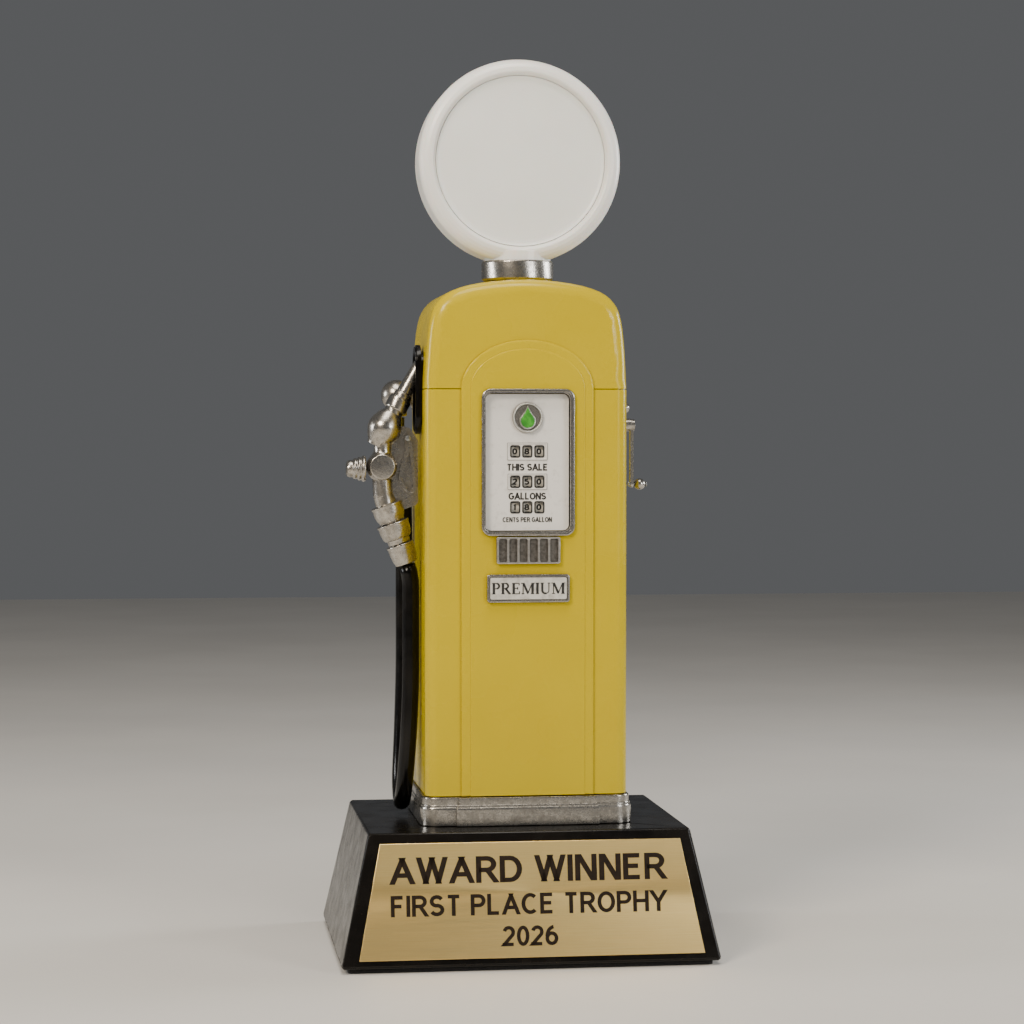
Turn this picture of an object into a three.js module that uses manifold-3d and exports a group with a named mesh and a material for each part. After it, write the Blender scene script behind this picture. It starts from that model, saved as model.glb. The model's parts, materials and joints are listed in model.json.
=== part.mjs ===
// Award trophy in the form of a 1950s gas pump, standing on a lacquered base with a name plate.
// Millimetres, +Z up, the dial faces -Y and the nozzle hangs on the -X side.
import * as THREE from 'three';
import { mergeVertices } from 'three/addons/utils/BufferGeometryUtils.js';
import Module from 'manifold-3d';

const wasm = await Module();
wasm.setup();

// Clearances
const gap = 0.3;
const runGap = 0.1;
const past = 1;

// Trophy base
const baseTopWidth = 108;
const baseTopDepth = 84;
const baseBottomWidth = 127;
const baseBottomDepth = 100;
const baseTop = 45.1;
const baseEdge = 0.9;
const feltThick = 1.2;
const feltInset = 2.5;
const plateTopWidth = 100.6;
const plateBottomWidth = 115.2;
const plateLow = 4.3;
const plateHigh = 41.8;
const plateThick = 0.8;
const boltRadius = 2.5;
const boltHeadRadius = 4.4;
const boltHeadTall = 3;
const counterboreRadius = 6.5;
const counterboreDeep = 8;

// Where the pump stands on the base
const pumpX = 1;
const pumpY = -2;

// Cabinet
const cabinetWidth = 68.8;
const cabinetDepth = 51;
const cabinetCorner = 4.2;
const cabinetLow = 55.1;
const seamHeight = 192;
const wall = 2;
const lipTall = 4;
const lipThick = 1.4;
const hoodTop = 229;
const neckRadius = 11.9;
const wireHole = 4;

// Skirt moulding
const skirtFloor = 2;
const skirtBandTall = 6.3;
const skirtBulge = 1.7;
const skirtStep = 0.9;

// Front panel with its arched top
const panelHalf = 22.5;
const panelFieldHalf = 19.5;
const archTall = 16.5;
const panelBorderThick = 0.8;
const panelFieldThick = 1.1;

// Dial
const dialWidth = 31.7;
const dialHeight = 49.4;
const dialCentre = 167.35;
const dialCorner = 3.2;
const bezelBand = 1.45;
const bezelStep = 0.5;
const bezelThick = 1.1;
const sleeveWall = 0.7;
const sleeveDeep = 3.9;
const faceThick = 0.7;
const badgeRadius = 5.2;
const badgeHeight = 182.4;

// Number wheels
const wheelRadius = 4;
const wheelWide = 3.3;
const wheelPitch = 4.1;
const windowWide = 3;
const windowTall = 3.7;
const saleHeight = 171;
const volumeHeight = 160.8;
const priceHeight = 152.2;
const shaftRadius = 0.8;
const frameHalf = 6.4;
const framePlate = 1;

// Gears
const gearModule = 0.4;
const wheelTeeth = 18;
const crankTeeth = 63;
const idlerTeeth = 20;
const gearThick = 1.4;
const gearStart = 8.6;

// Louvre and grade sign
const louvreWidth = 21.6;
const louvreLow = 133.3;
const louvreHigh = 142.3;
const louvreSlots = 6;
const slotWide = 2.75;
const signWidth = 28.1;
const signLow = 120.3;
const signHigh = 129.8;
const signBand = 0.8;

// Globe
const globeRadius = 34.8;
const globeThick = 20;
const globeCentre = 270.1;
const globeWall = 2.2;
const globeRim = 4.2;
const lensRadius = 29;
const lensThick = 1.3;
const lensSunk = 2.1;
const collarRadius = 12.4;
const collarLow = 229.4;
const collarHigh = 236.3;
const globeNeck = 11.4;

// Nozzle, all on one plane beside the cabinet
const nozzleY = -9;
const bootHeight = 192;
const bootHalfTall = 15.2;
const bootHalfWide = 6.25;
const bootThick = 1.5;
const bootDeep = 6.5;
const spoutTilt = 29;
const spoutRadius = 2.7;
const spoutBore = 1.3;
const spoutSocket = 2;
const spoutLength = 25.6;
const bulbX = -cabinetWidth / 2 - 12.5;
const bulbZ = 178.6;
const bulbRadius = 5.9;
const valveX = -cabinetWidth / 2 - 13.4;
const valveZ = 165.7;
const valveRadius = 5.2;
const valveThick = 9.2;
const tailX = -cabinetWidth / 2 - 12.9;
const tailZ = 156;
const tailTilt = 19;
const tailRadius = 3.4;
const guardThick = 1.2;
const guardBack = -7.5;
const pivotX = -cabinetWidth / 2 - 4.5;
const pivotZ = 175.4;
const leverThick = 1.4;

// Hose and its outlet
const hoseDiameter = 5.8;
const elbowX = -cabinetWidth / 2 - 6.2;
const elbowY = 15;
const elbowZ = 190.4;
const elbowRadius = 5.4;
const elbowPipe = 2.4;

// Crank and lock on the other side
const crankZ = 180;
const crankShaft = 1.1;
const crankReach = 20.4;
const crankFace = cabinetWidth / 2 + 3.9;
const crankArmThick = 1.1;
const knobRadius = 2;
const lockY = -15;
const lockZ = 185.8;
const lockRadius = 1.75;

// Sizes that follow from the ones above
const halfWidth = cabinetWidth / 2;
const halfDepth = cabinetDepth / 2;
const panelBack = -halfDepth - gap;
const panelFront = panelBack - panelFieldThick;
const trimBack = panelFront - gap;
const sleeveHalf = dialWidth / 2 - bezelBand + sleeveWall;
const sleeveTall = dialHeight / 2 - bezelBand + sleeveWall;
const faceFront = trimBack + sleeveDeep - gap - faceThick - 0.8;
const shaftEnd = frameHalf + framePlate + 0.8;
const gearReach = gearModule * (wheelTeeth / 2 + 1);
const wheelAxisY = faceFront + faceThick + 0.45 + Math.max(wheelRadius, gearReach);
const crankY = wheelAxisY + 13.45;
const rowHeights = [saleHeight, volumeHeight, priceHeight];
const wheelPlaces = [-wheelPitch, 0, wheelPitch];
const baseSlope = Math.atan((baseBottomDepth - baseTopDepth) / 2 / baseTop);

// Finishes
const paint = finish('cabinet_paint', 0xd6a51c, 0.28, 0);
const silver = finish('antique_silver', 0xa9a7a0, 0.42, 0.85);
const lacquer = finish('base_lacquer', 0x0b0b0c, 0.25, 0);
const brass = finish('plate_brass', 0xb98f45, 0.35, 1);
const felt = finish('base_felt', 0x121314, 0.95, 0);
const steel = finish('zinc_steel', 0x9a9ca0, 0.4, 1);
const globeWhite = finish('globe_white', 0xe9e4d6, 0.4, 0);
const dialWhite = finish('dial_white', 0xe6dfc9, 0.5, 0);
const wheelWhite = finish('wheel_white', 0xdcd6c4, 0.5, 0);
const badgeGreen = finish('badge_green', 0x2e7d3a, 0.35, 0);
const signCream = finish('sign_cream', 0xd9d2bb, 0.5, 0);
const rubber = finish('hose_rubber', 0x0c0c0d, 0.3, 0);

function finish(name, color, roughness, metalness) {
  return new THREE.MeshStandardMaterial({ name, color, roughness, metalness });
}

// Booleans
function signedVolume(geometry) {
  const p = geometry.attributes.position;
  const index = geometry.index.array;
  const a = new THREE.Vector3();
  const b = new THREE.Vector3();
  const c = new THREE.Vector3();
  let sum = 0;
  for (let i = 0; i < index.length; i += 3) {
    a.fromBufferAttribute(p, index[i]);
    b.fromBufferAttribute(p, index[i + 1]);
    c.fromBufferAttribute(p, index[i + 2]);
    sum += a.dot(b.cross(c));
  }
  return sum;
}

function solid(source) {
  const raw = source.clone();
  raw.deleteAttribute('normal');
  raw.deleteAttribute('uv');
  const geometry = mergeVertices(raw, 1e-4);
  const triangles = new Uint32Array(geometry.index.array);
  if (signedVolume(geometry) < 0) {
    for (let i = 0; i < triangles.length; i += 3) {
      const first = triangles[i];
      triangles[i] = triangles[i + 1];
      triangles[i + 1] = first;
    }
  }
  const vertices = new Float32Array(geometry.attributes.position.array);
  return new wasm.Manifold(new wasm.Mesh({ numProp: 3, vertProperties: vertices, triVerts: triangles }));
}

function add(...pieces) {
  return pieces.map(asSolid).reduce((sum, piece) => sum.add(piece));
}

function cut(body, ...tools) {
  return tools.map(asSolid).reduce((rest, tool) => rest.subtract(tool), asSolid(body));
}

function common(...pieces) {
  return pieces.map(asSolid).reduce((rest, piece) => rest.intersect(piece));
}

function asSolid(piece) {
  return piece.isBufferGeometry ? solid(piece) : piece;
}

function surface(piece) {
  const mesh = asSolid(piece).getMesh();
  const geometry = new THREE.BufferGeometry();
  geometry.setAttribute('position', new THREE.BufferAttribute(new Float32Array(mesh.vertProperties), 3));
  geometry.setIndex(new THREE.BufferAttribute(new Uint32Array(mesh.triVerts), 1));
  geometry.computeVertexNormals();
  return geometry;
}

function part(name, piece, material) {
  const mesh = new THREE.Mesh(surface(piece), material);
  mesh.name = name;
  return mesh;
}

// Outlines
function roundRect(width, height, radius, x = 0, y = 0) {
  const w = width / 2;
  const h = height / 2;
  const s = new THREE.Shape();
  s.moveTo(x - w + radius, y - h);
  s.lineTo(x + w - radius, y - h);
  s.absarc(x + w - radius, y - h + radius, radius, -Math.PI / 2, 0, false);
  s.lineTo(x + w, y + h - radius);
  s.absarc(x + w - radius, y + h - radius, radius, 0, Math.PI / 2, false);
  s.lineTo(x - w + radius, y + h);
  s.absarc(x - w + radius, y + h - radius, radius, Math.PI / 2, Math.PI, false);
  s.lineTo(x - w, y - h + radius);
  s.absarc(x - w + radius, y - h + radius, radius, Math.PI, Math.PI * 1.5, false);
  return s;
}

function polygon(points) {
  return new THREE.Shape(points.map(([x, y]) => new THREE.Vector2(x, y)));
}

function oval(halfWide, halfTall, x, y) {
  const s = new THREE.Shape();
  const straight = halfTall - halfWide;
  s.absarc(x, y + straight, halfWide, 0, Math.PI, false);
  s.absarc(x, y - straight, halfWide, Math.PI, Math.PI * 2, false);
  return s;
}

function slotBetween(x1, y1, x2, y2, radius) {
  const turn = Math.atan2(y2 - y1, x2 - x1);
  const s = new THREE.Shape();
  s.absarc(x2, y2, radius, turn - Math.PI / 2, turn + Math.PI / 2, false);
  s.absarc(x1, y1, radius, turn + Math.PI / 2, turn + Math.PI * 1.5, false);
  return s;
}

function archOutline(half, low, tall, rise) {
  const s = new THREE.Shape();
  s.moveTo(-half, low);
  s.lineTo(half, low);
  s.lineTo(half, tall);
  s.absellipse(0, tall, half, rise, 0, Math.PI, false, 0);
  return s;
}

// Solids from outlines: upright, towards the front, and towards the side
function upright(shape, low, tall, edge = 0, segments = 4) {
  return extrude(shape, tall, edge, segments).translate(0, 0, low);
}

function facing(shape, back, thick, edge = 0, segments = 4) {
  return extrude(shape, thick, edge, segments).rotateX(Math.PI / 2).translate(0, back, 0);
}

function sideways(shape, start, thick, edge = 0, segments = 6) {
  return extrude(shape, thick, edge, segments).rotateX(Math.PI / 2).rotateZ(Math.PI / 2).translate(start, 0, 0);
}

function extrude(shape, thick, edge, segments) {
  const options = { depth: thick, bevelEnabled: false, curveSegments: segments };
  if (edge > 0) {
    options.depth = thick - edge;
    options.bevelEnabled = true;
    options.bevelThickness = edge;
    options.bevelSize = edge;
    options.bevelOffset = -edge;
    options.bevelSegments = 2;
  }
  const geometry = new THREE.ExtrudeGeometry(shape, options);
  if (edge === 0) {
    return geometry;
  }
  const plain = { depth: thick / 2, bevelEnabled: false, curveSegments: segments };
  const square = new THREE.ExtrudeGeometry(shape, plain);
  const trimmed = common(geometry, new THREE.BoxGeometry(1000, 1000, thick).translate(0, 0, thick / 2));
  return surface(add(trimmed, square));
}

function lathe(points, segments = 24) {
  return new THREE.LatheGeometry(points.map(([r, h]) => new THREE.Vector2(r, h)), segments);
}

function latheZ(points, segments) {
  return lathe(points, segments).rotateX(Math.PI / 2);
}

function latheX(points, segments) {
  return latheZ(points, segments).rotateY(Math.PI / 2);
}

function rodX(radius, start, length, y, z, segments = 12) {
  return new THREE.CylinderGeometry(radius, radius, length, segments)
    .rotateZ(Math.PI / 2)
    .translate(start + length / 2, y, z);
}

function rodY(radius, start, length, x, z, segments = 12) {
  return new THREE.CylinderGeometry(radius, radius, length, segments).translate(x, start + length / 2, z);
}

function rodZ(radius, low, tall, x = 0, y = 0, segments = 24) {
  return new THREE.CylinderGeometry(radius, radius, tall, segments)
    .rotateX(Math.PI / 2)
    .translate(x, y, low + tall / 2);
}

function box(x1, x2, y1, y2, z1, z2) {
  return new THREE.BoxGeometry(x2 - x1, y2 - y1, z2 - z1).translate((x1 + x2) / 2, (y1 + y2) / 2, (z1 + z2) / 2);
}

// A turned shape whose axis leans in the nozzle's plane, measured from a start point along the lean
function along(points, x, z, lean, segments = 16) {
  return latheZ(points, segments)
    .rotateY(THREE.MathUtils.degToRad(lean))
    .translate(x, nozzleY, z);
}

// Trophy base
function trophyBase() {
  const low = feltThick + gap;
  const front = polygon(slopedOutline(baseBottomWidth, baseTopWidth, low));
  const side = polygon(slopedOutline(baseBottomDepth, baseTopDepth, low));
  const block = common(
    facing(front, baseBottomDepth, baseBottomDepth * 2),
    sideways(side, -baseBottomWidth, baseBottomWidth * 2),
  );
  return cut(
    block,
    rodZ(boltRadius + gap, -past, baseTop + past * 3, pumpX, pumpY),
    rodZ(counterboreRadius, -past, past + low + counterboreDeep, pumpX, pumpY),
  );
}

function slopedOutline(bottom, top, low) {
  const slope = (bottom - top) / 2 / baseTop;
  const wide = bottom / 2;
  const narrow = top / 2;
  const e = baseEdge;
  return [
    [-wide + e, low],
    [wide - e, low],
    [wide - slope * e, low + e],
    [narrow + slope * e, baseTop - e],
    [narrow + slope * e * 0.3 - e * 0.3, baseTop - e * 0.3],
    [narrow - e, baseTop],
    [-narrow + e, baseTop],
    [-narrow - slope * e * 0.3 + e * 0.3, baseTop - e * 0.3],
    [-narrow - slope * e, baseTop - e],
    [-wide + slope * e, low + e],
  ];
}

function feltPad() {
  const plan = roundRect(baseBottomWidth - feltInset * 2, baseBottomDepth - feltInset * 2, 2);
  return cut(upright(plan, 0, feltThick), rodZ(counterboreRadius, -past, feltThick + past * 2, pumpX, pumpY));
}

function namePlate() {
  const tall = (plateHigh - plateLow) / Math.cos(baseSlope);
  const shape = polygon([
    [-plateBottomWidth / 2, 0],
    [plateBottomWidth / 2, 0],
    [plateTopWidth / 2, tall],
    [-plateTopWidth / 2, tall],
  ]);
  const front = -baseBottomDepth / 2 + Math.tan(baseSlope) * plateLow;
  return facing(shape, -gap, plateThick, 0.25)
    .rotateX(-baseSlope)
    .translate(0, front, plateLow);
}

// Tie bolt that holds the pump to its base
function tieBolt() {
  const headLow = feltThick + gap + counterboreDeep - gap - boltHeadTall;
  const head = rodZ(boltHeadRadius, headLow, boltHeadTall, 0, 0, 6);
  const shank = rodZ(boltRadius, headLow, 62 - headLow);
  return add(head, shank);
}

function tieWasher() {
  return cut(rodZ(6, cabinetLow, 0.8), rodZ(boltRadius + gap, 50, 20));
}

function tieNut() {
  return cut(rodZ(4.6, cabinetLow + 0.8 + gap, 3.6, 0, 0, 6), rodZ(boltRadius + gap, 50, 20));
}

// Skirt moulding round the foot of the cabinet
function skirt() {
  const low = baseTop + gap;
  const high = cabinetLow - gap;
  const band = low + skirtBandTall;
  const moulding = add(
    upright(skirtPlan(skirtBulge), low, skirtBandTall, 1),
    upright(skirtPlan(skirtStep), low + 2, high - low - 2, 0.5),
    upright(skirtPlan(skirtStep + 0.35), band - 1, 1.6, 0.3),
  );
  const room = roundRect(cabinetWidth - 4, cabinetDepth - 4, 3);
  const hollow = upright(room, low - past, high - skirtFloor - low + past);
  return cut(moulding, hollow, rodZ(boltRadius + gap, low, 20));
}

function skirtPlan(grow) {
  const w = halfWidth + grow;
  const d = halfDepth + grow;
  const p = panelHalf + grow;
  const f = -panelFront + grow;
  const r = cabinetCorner + grow;
  const s = new THREE.Shape();
  s.moveTo(-p, -f);
  s.lineTo(p, -f);
  s.lineTo(p, -d);
  s.lineTo(w - r, -d);
  s.absarc(w - r, -d + r, r, -Math.PI / 2, 0, false);
  s.lineTo(w, d - r);
  s.absarc(w - r, d - r, r, 0, Math.PI / 2, false);
  s.lineTo(-w + r, d);
  s.absarc(-w + r, d - r, r, Math.PI / 2, Math.PI, false);
  s.lineTo(-w, -d + r);
  s.absarc(-w + r, -d + r, r, Math.PI, Math.PI * 1.5, false);
  s.lineTo(-p, -d);
  return s;
}

// Cabinet
function cabinetPlan(inset) {
  const radius = Math.max(cabinetCorner - inset, 1);
  return roundRect(cabinetWidth - inset * 2, cabinetDepth - inset * 2, radius);
}

function bootOpening() {
  return sideways(oval(bootHalfWide - 1, bootHalfTall - 2, nozzleY, bootHeight), -halfWidth - past, 9);
}

function elbowOpening() {
  return rodX(elbowPipe + gap, -halfWidth - past, 9, elbowY, elbowZ);
}

function lowerCabinet() {
  const high = seamHeight - gap / 2;
  const shell = cut(
    upright(cabinetPlan(0), cabinetLow, high - cabinetLow),
    upright(cabinetPlan(wall), cabinetLow - past, high - cabinetLow + past * 2),
  );
  return cut(
    shell,
    box(-panelFieldHalf + 2, panelFieldHalf - 2, -halfDepth - past, -halfDepth + wall + past, 118, high + past),
    box(-20, 20, halfDepth - wall - past, halfDepth + past, 74, 166),
    bootOpening(),
    elbowOpening(),
    rodX(crankShaft + runGap, halfWidth - wall - past, wall + past * 2, crankY, crankZ),
    rodX(lockRadius - 0.4 + runGap, halfWidth - wall - past, wall + past * 2, lockY, lockZ),
    rodY(1, halfDepth - wall - past, wall + past * 2, 0, 170),
    rodY(1, halfDepth - wall - past, wall + past * 2, 0, 70),
  );
}

function hoodForm(inset) {
  const low = seamHeight + gap / 2;
  const round = cabinetCorner - inset * 0.6;
  const block = new THREE.ExtrudeGeometry(hoodOutline(inset), {
    depth: cabinetDepth - inset * 2 - round * 2,
    bevelEnabled: true,
    bevelThickness: round,
    bevelSize: round,
    bevelOffset: -round,
    bevelSegments: 4,
  });
  const turned = block.rotateX(Math.PI / 2).translate(0, halfDepth - inset - round, 0);
  return common(turned, box(-100, 100, -100, 100, low, 300));
}

// The hood seen from the front: nearly upright sides, soft shoulders and a low crown
function hoodOutline(inset) {
  const half = halfWidth - inset;
  const top = hoodTop - inset;
  const right = [
    [half, top - 37],
    [half - 0.7, top - 23.3],
    [half - 1.9, top - 13.5],
    [half - 4.2, top - 8],
    [half - 9.2, top - 4],
    [half - 19, top - 1.3],
  ];
  const over = [...right, [0, top], ...right.map(([x, z]) => [-x, z]).reverse()];
  const curve = new THREE.SplineCurve(over.map(([x, z]) => new THREE.Vector2(x, z)));
  const s = new THREE.Shape();
  s.moveTo(-half, top - 75);
  s.lineTo(half, top - 75);
  for (const point of curve.getPoints(36)) {
    s.lineTo(point.x, point.y);
  }
  return s;
}

function hood() {
  const low = seamHeight + gap / 2;
  const lipOut = wall + gap;
  const lip = cut(
    add(upright(cabinetPlan(lipOut), low - lipTall, lipTall + 1), upright(cabinetPlan(wall / 2), low, 1.2)),
    upright(cabinetPlan(lipOut + lipThick), low - lipTall - past, lipTall + 10),
  );
  const cavity = add(hoodForm(wall), upright(cabinetPlan(lipOut + lipThick), low - past, past * 3));
  const seat = rodZ(neckRadius, hoodTop - 6, 6.1, 0, 0, 32);
  const body = add(cut(hoodForm(0), cavity), lip, cut(seat, hoodForm(wall)));
  return cut(
    body,
    rodZ(wireHole, hoodTop - 12, 20),
    box(-18, 18, -halfDepth, -halfDepth + 8, low - lipTall - past, low),
    bootOpening(),
    elbowOpening(),
  );
}

// Front panel
function frontPanel() {
  const border = facing(
    archOutline(panelHalf, cabinetLow, seamHeight, archTall),
    panelBack,
    panelBorderThick,
    0.65,
    12,
  );
  const field = facing(
    archOutline(panelFieldHalf, cabinetLow, seamHeight, archTall - 3),
    panelBack,
    panelFieldThick,
    0.35,
    12,
  );
  return cut(
    add(border, field),
    facing(
      roundRect((sleeveHalf + gap) * 2, (sleeveTall + gap) * 2, dialCorner, 0, dialCentre),
      0,
      halfDepth * 2,
    ),
  );
}

function rearPanel() {
  const plate = facing(roundRect(46, 106, 3, 0, 120), halfDepth + gap + 1.2, 1.2, 0);
  return cut(plate, rodY(1, halfDepth, 4, 0, 170), rodY(1, halfDepth, 4, 0, 70));
}

function rearScrew(height) {
  const back = halfDepth + gap * 2 + 1.2;
  return add(rodY(0.85, halfDepth - wall - past, back - halfDepth + wall + past + 0.5, 0, height),
    rodY(1.8, back, 0.9, 0, height));
}

// Dial
function dialBezel() {
  const outer = roundRect(dialWidth, dialHeight, dialCorner, 0, dialCentre);
  const sleeve = roundRect(sleeveHalf * 2, sleeveTall * 2, dialCorner - 0.5, 0, dialCentre);
  return cut(
    add(facing(outer, trimBack, bezelThick, 0.4), facing(sleeve, trimBack + sleeveDeep, sleeveDeep + 0.3)),
    facing(dialMouth(0), trimBack + sleeveDeep + past, sleeveDeep + bezelThick + past * 3),
    facing(dialMouth(bezelStep), trimBack - bezelThick + bezelStep, past * 3),
  );
}

function dialMouth(grow) {
  const inset = (bezelBand - grow) * 2;
  return roundRect(dialWidth - inset, dialHeight - inset, dialCorner - 0.8 + grow / 2, 0, dialCentre);
}

function dialFace() {
  const width = dialWidth - bezelBand * 2 - gap * 2;
  const height = dialHeight - bezelBand * 2 - gap * 2;
  const back = faceFront + faceThick;
  const plate = facing(roundRect(width, height, dialCorner - 1.3, 0, dialCentre), back, faceThick);
  const frames = add(
    rowFrame(saleHeight, 13.7, 5.9, back),
    rowFrame(volumeHeight, 13.4, 5.4, back),
  );
  const windows = [];
  for (const height of rowHeights) {
    for (const x of wheelPlaces) {
      const half = windowWide / 2;
      windows.push(box(x - half, x + half, -40, 0, height - windowTall / 2, height + windowTall / 2));
    }
  }
  return cut(add(plate, frames), ...windows, rodY(1.1, -40, 40, 0, badgeHeight));
}

function rowFrame(height, wide, tall, back) {
  return cut(
    facing(roundRect(wide, tall, 0.9, 0, height), back, faceThick + 0.3, 0, 3),
    facing(roundRect(wide - 0.9, tall - 0.9, 0.5, 0, height), -10, 40, 0, 2),
  );
}

function emblemBadge() {
  const ring = lathe([[0, 0], [badgeRadius, 0], [badgeRadius, 0.6], [badgeRadius - 0.3, 1],
    [badgeRadius - 0.7, 1], [badgeRadius - 0.9, 0.5], [0, 0.5]], 28);
  const disc = ring.rotateX(Math.PI).translate(0, faceFront - gap, badgeHeight);
  const outline = facing(dropOutline(0.45), faceFront - gap - 0.4, 0.35);
  return add(disc, outline, rodY(0.9, faceFront - gap - 0.3, faceThick + gap + 0.3, 0, badgeHeight, 12));
}

function dropOutline(grow) {
  const s = new THREE.Shape();
  const radius = 2.4 + grow;
  const low = badgeHeight - 1.1;
  const side = radius * Math.cos(0.3);
  const shoulder = low + radius * Math.sin(0.3);
  const tip = badgeHeight + 3.5 + grow;
  s.moveTo(0, tip);
  s.quadraticCurveTo(1 + grow / 2, badgeHeight + 1.4, side, shoulder);
  for (let i = 1; i <= 10; i += 1) {
    const a = 0.3 - i / 10 * (Math.PI + 0.6);
    s.lineTo(radius * Math.cos(a), low + radius * Math.sin(a));
  }
  s.quadraticCurveTo(-1 - grow / 2, badgeHeight + 1.4, 0, tip);
  return s;
}

function emblemDrop() {
  return facing(dropOutline(0), faceFront - gap * 2 - 0.75, 0.5, 0.15, 6);
}

// Register: frame, shafts, gears and number wheels
function idlerPlace() {
  const reach = gearModule * (wheelTeeth + idlerTeeth) / 2;
  const half = (saleHeight - volumeHeight) / 2;
  return [wheelAxisY + Math.sqrt(reach * reach - half * half), saleHeight - half];
}

function registerFrame() {
  const [idlerY, idlerZ] = idlerPlace();
  const low = 145.5;
  const high = 176.5;
  const front = faceFront + faceThick + gap;
  const left = box(-frameHalf - framePlate, -frameHalf, front, -11.5, low, high);
  const right = sideways(
    polygon([[front, low], [-11.5, low], [-11.5, 172], [-3.5, 177], [-3.5, 183],
      [-9.5, 183], [-14, high], [front, high]]),
    frameHalf,
    framePlate,
  );
  const back = box(-frameHalf - 0.5, frameHalf + 0.5, -12.5, -11.5, low, high);
  const bar = box(-halfWidth + wall + gap, halfWidth - wall - gap, -12.5, -11.5, low, low + 7);
  const holes = rowHeights.map((z) => rodX(shaftRadius + runGap, -20, 40, wheelAxisY, z));
  return add(
    cut(add(left, right, back, bar), ...holes, rodX(crankShaft + runGap, 0, 20, crankY, crankZ)),
    rodX(shaftRadius, frameHalf, gearStart + gearThick * 2 + 1.4 - frameHalf, idlerY, idlerZ),
  );
}

function gearOutline(teeth, y, z, phase) {
  const pitch = gearModule * teeth / 2;
  const tip = pitch + gearModule * 0.9;
  const root = pitch - gearModule * 1.2;
  const step = Math.PI * 2 / teeth;
  const s = new THREE.Shape();
  for (let i = 0; i < teeth; i += 1) {
    const middle = phase + step * i;
    const corners = [[root, -0.3], [tip, -0.12], [tip, 0.12], [root, 0.3]];
    for (const [radius, share] of corners) {
      const angle = middle + share * step;
      const px = y + radius * Math.cos(angle);
      const py = z + radius * Math.sin(angle);
      if (i === 0 && share === -0.3) {
        s.moveTo(px, py);
      } else {
        s.lineTo(px, py);
      }
    }
  }
  return s;
}

// Turns that bring each gear's teeth into the gaps of the one before it
function meshPhase(teethA, phaseA, from, teethB, to) {
  const towards = Math.atan2(to[1] - from[1], to[0] - from[0]);
  const stepA = Math.PI * 2 / teethA;
  const stepB = Math.PI * 2 / teethB;
  const share = (towards - phaseA) / stepA;
  const rest = share - Math.round(share);
  return towards + Math.PI - (0.5 - rest) * stepB - stepB;
}

function gearTrain() {
  const crank = [crankY, crankZ];
  const sale = [wheelAxisY, saleHeight];
  const idler = idlerPlace();
  const volume = [wheelAxisY, volumeHeight];
  const crankPhase = Math.atan2(sale[1] - crank[1], sale[0] - crank[0]);
  const salePhase = meshPhase(crankTeeth, crankPhase, crank, wheelTeeth, sale);
  const idlerPhase = meshPhase(wheelTeeth, salePhase, sale, idlerTeeth, idler);
  const volumePhase = meshPhase(idlerTeeth, idlerPhase, idler, wheelTeeth, volume);
  return { crankPhase, salePhase, idlerPhase, volumePhase };
}

function saleShaft() {
  return add(
    rodX(shaftRadius, -shaftEnd, gearStart + gearThick * 2 + 0.8 - framePlate + shaftEnd, wheelAxisY, saleHeight),
    sideways(gearOutline(wheelTeeth, wheelAxisY, saleHeight, gearTrain().salePhase), gearStart, gearThick * 2 + 0.6),
  );
}

function volumeShaft() {
  const start = gearStart + gearThick + 0.6;
  return add(
    rodX(shaftRadius, -shaftEnd, start + gearThick + 0.2 - framePlate + shaftEnd, wheelAxisY, volumeHeight),
    sideways(gearOutline(wheelTeeth, wheelAxisY, volumeHeight, gearTrain().volumePhase), start, gearThick),
  );
}

function priceShaft() {
  const reach = frameHalf + framePlate + 0.8;
  return rodX(shaftRadius, -reach, reach * 2, wheelAxisY, priceHeight);
}

function idlerGear() {
  const [y, z] = idlerPlace();
  const start = gearStart + gearThick + 0.6;
  return cut(
    sideways(gearOutline(idlerTeeth, y, z, gearTrain().idlerPhase), start, gearThick),
    rodX(shaftRadius + runGap, start - past, gearThick + past * 2, y, z),
  );
}

function numberWheel(x, z) {
  const rim = rodX(wheelRadius, x - wheelWide / 2, wheelWide, wheelAxisY, z, 30);
  return cut(rim, rodX(shaftRadius + runGap, x - wheelWide, wheelWide * 2, wheelAxisY, z));
}

// Louvre and sign
function louvreGrille() {
  const middle = (louvreLow + louvreHigh) / 2;
  const tall = louvreHigh - louvreLow;
  const plate = facing(roundRect(louvreWidth, tall, 0.7, 0, middle), trimBack, 1.4, 0.25);
  const pitch = (louvreWidth - 0.8) / louvreSlots;
  const slots = [];
  for (let i = 0; i < louvreSlots; i += 1) {
    const x = (i - (louvreSlots - 1) / 2) * pitch;
    slots.push(facing(roundRect(slotWide, tall - 1.1, 0.5, x, middle), trimBack - 0.5, 4, 0, 2));
  }
  return cut(plate, ...slots);
}

function signFrame() {
  const middle = (signLow + signHigh) / 2;
  const tall = signHigh - signLow;
  return cut(
    facing(roundRect(signWidth, tall, 1.1, 0, middle), trimBack, 1.3, 0.35),
    facing(roundRect(signWidth - signBand * 2, tall - signBand * 2, 0.6, 0, middle), trimBack - 0.5, 5),
  );
}

function signInsert() {
  const middle = (signLow + signHigh) / 2;
  const inset = (signBand + gap) * 2;
  const shape = roundRect(signWidth - inset, signHigh - signLow - inset, 0.5, 0, middle);
  return facing(shape, trimBack - 0.5 - gap, 0.35);
}

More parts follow.
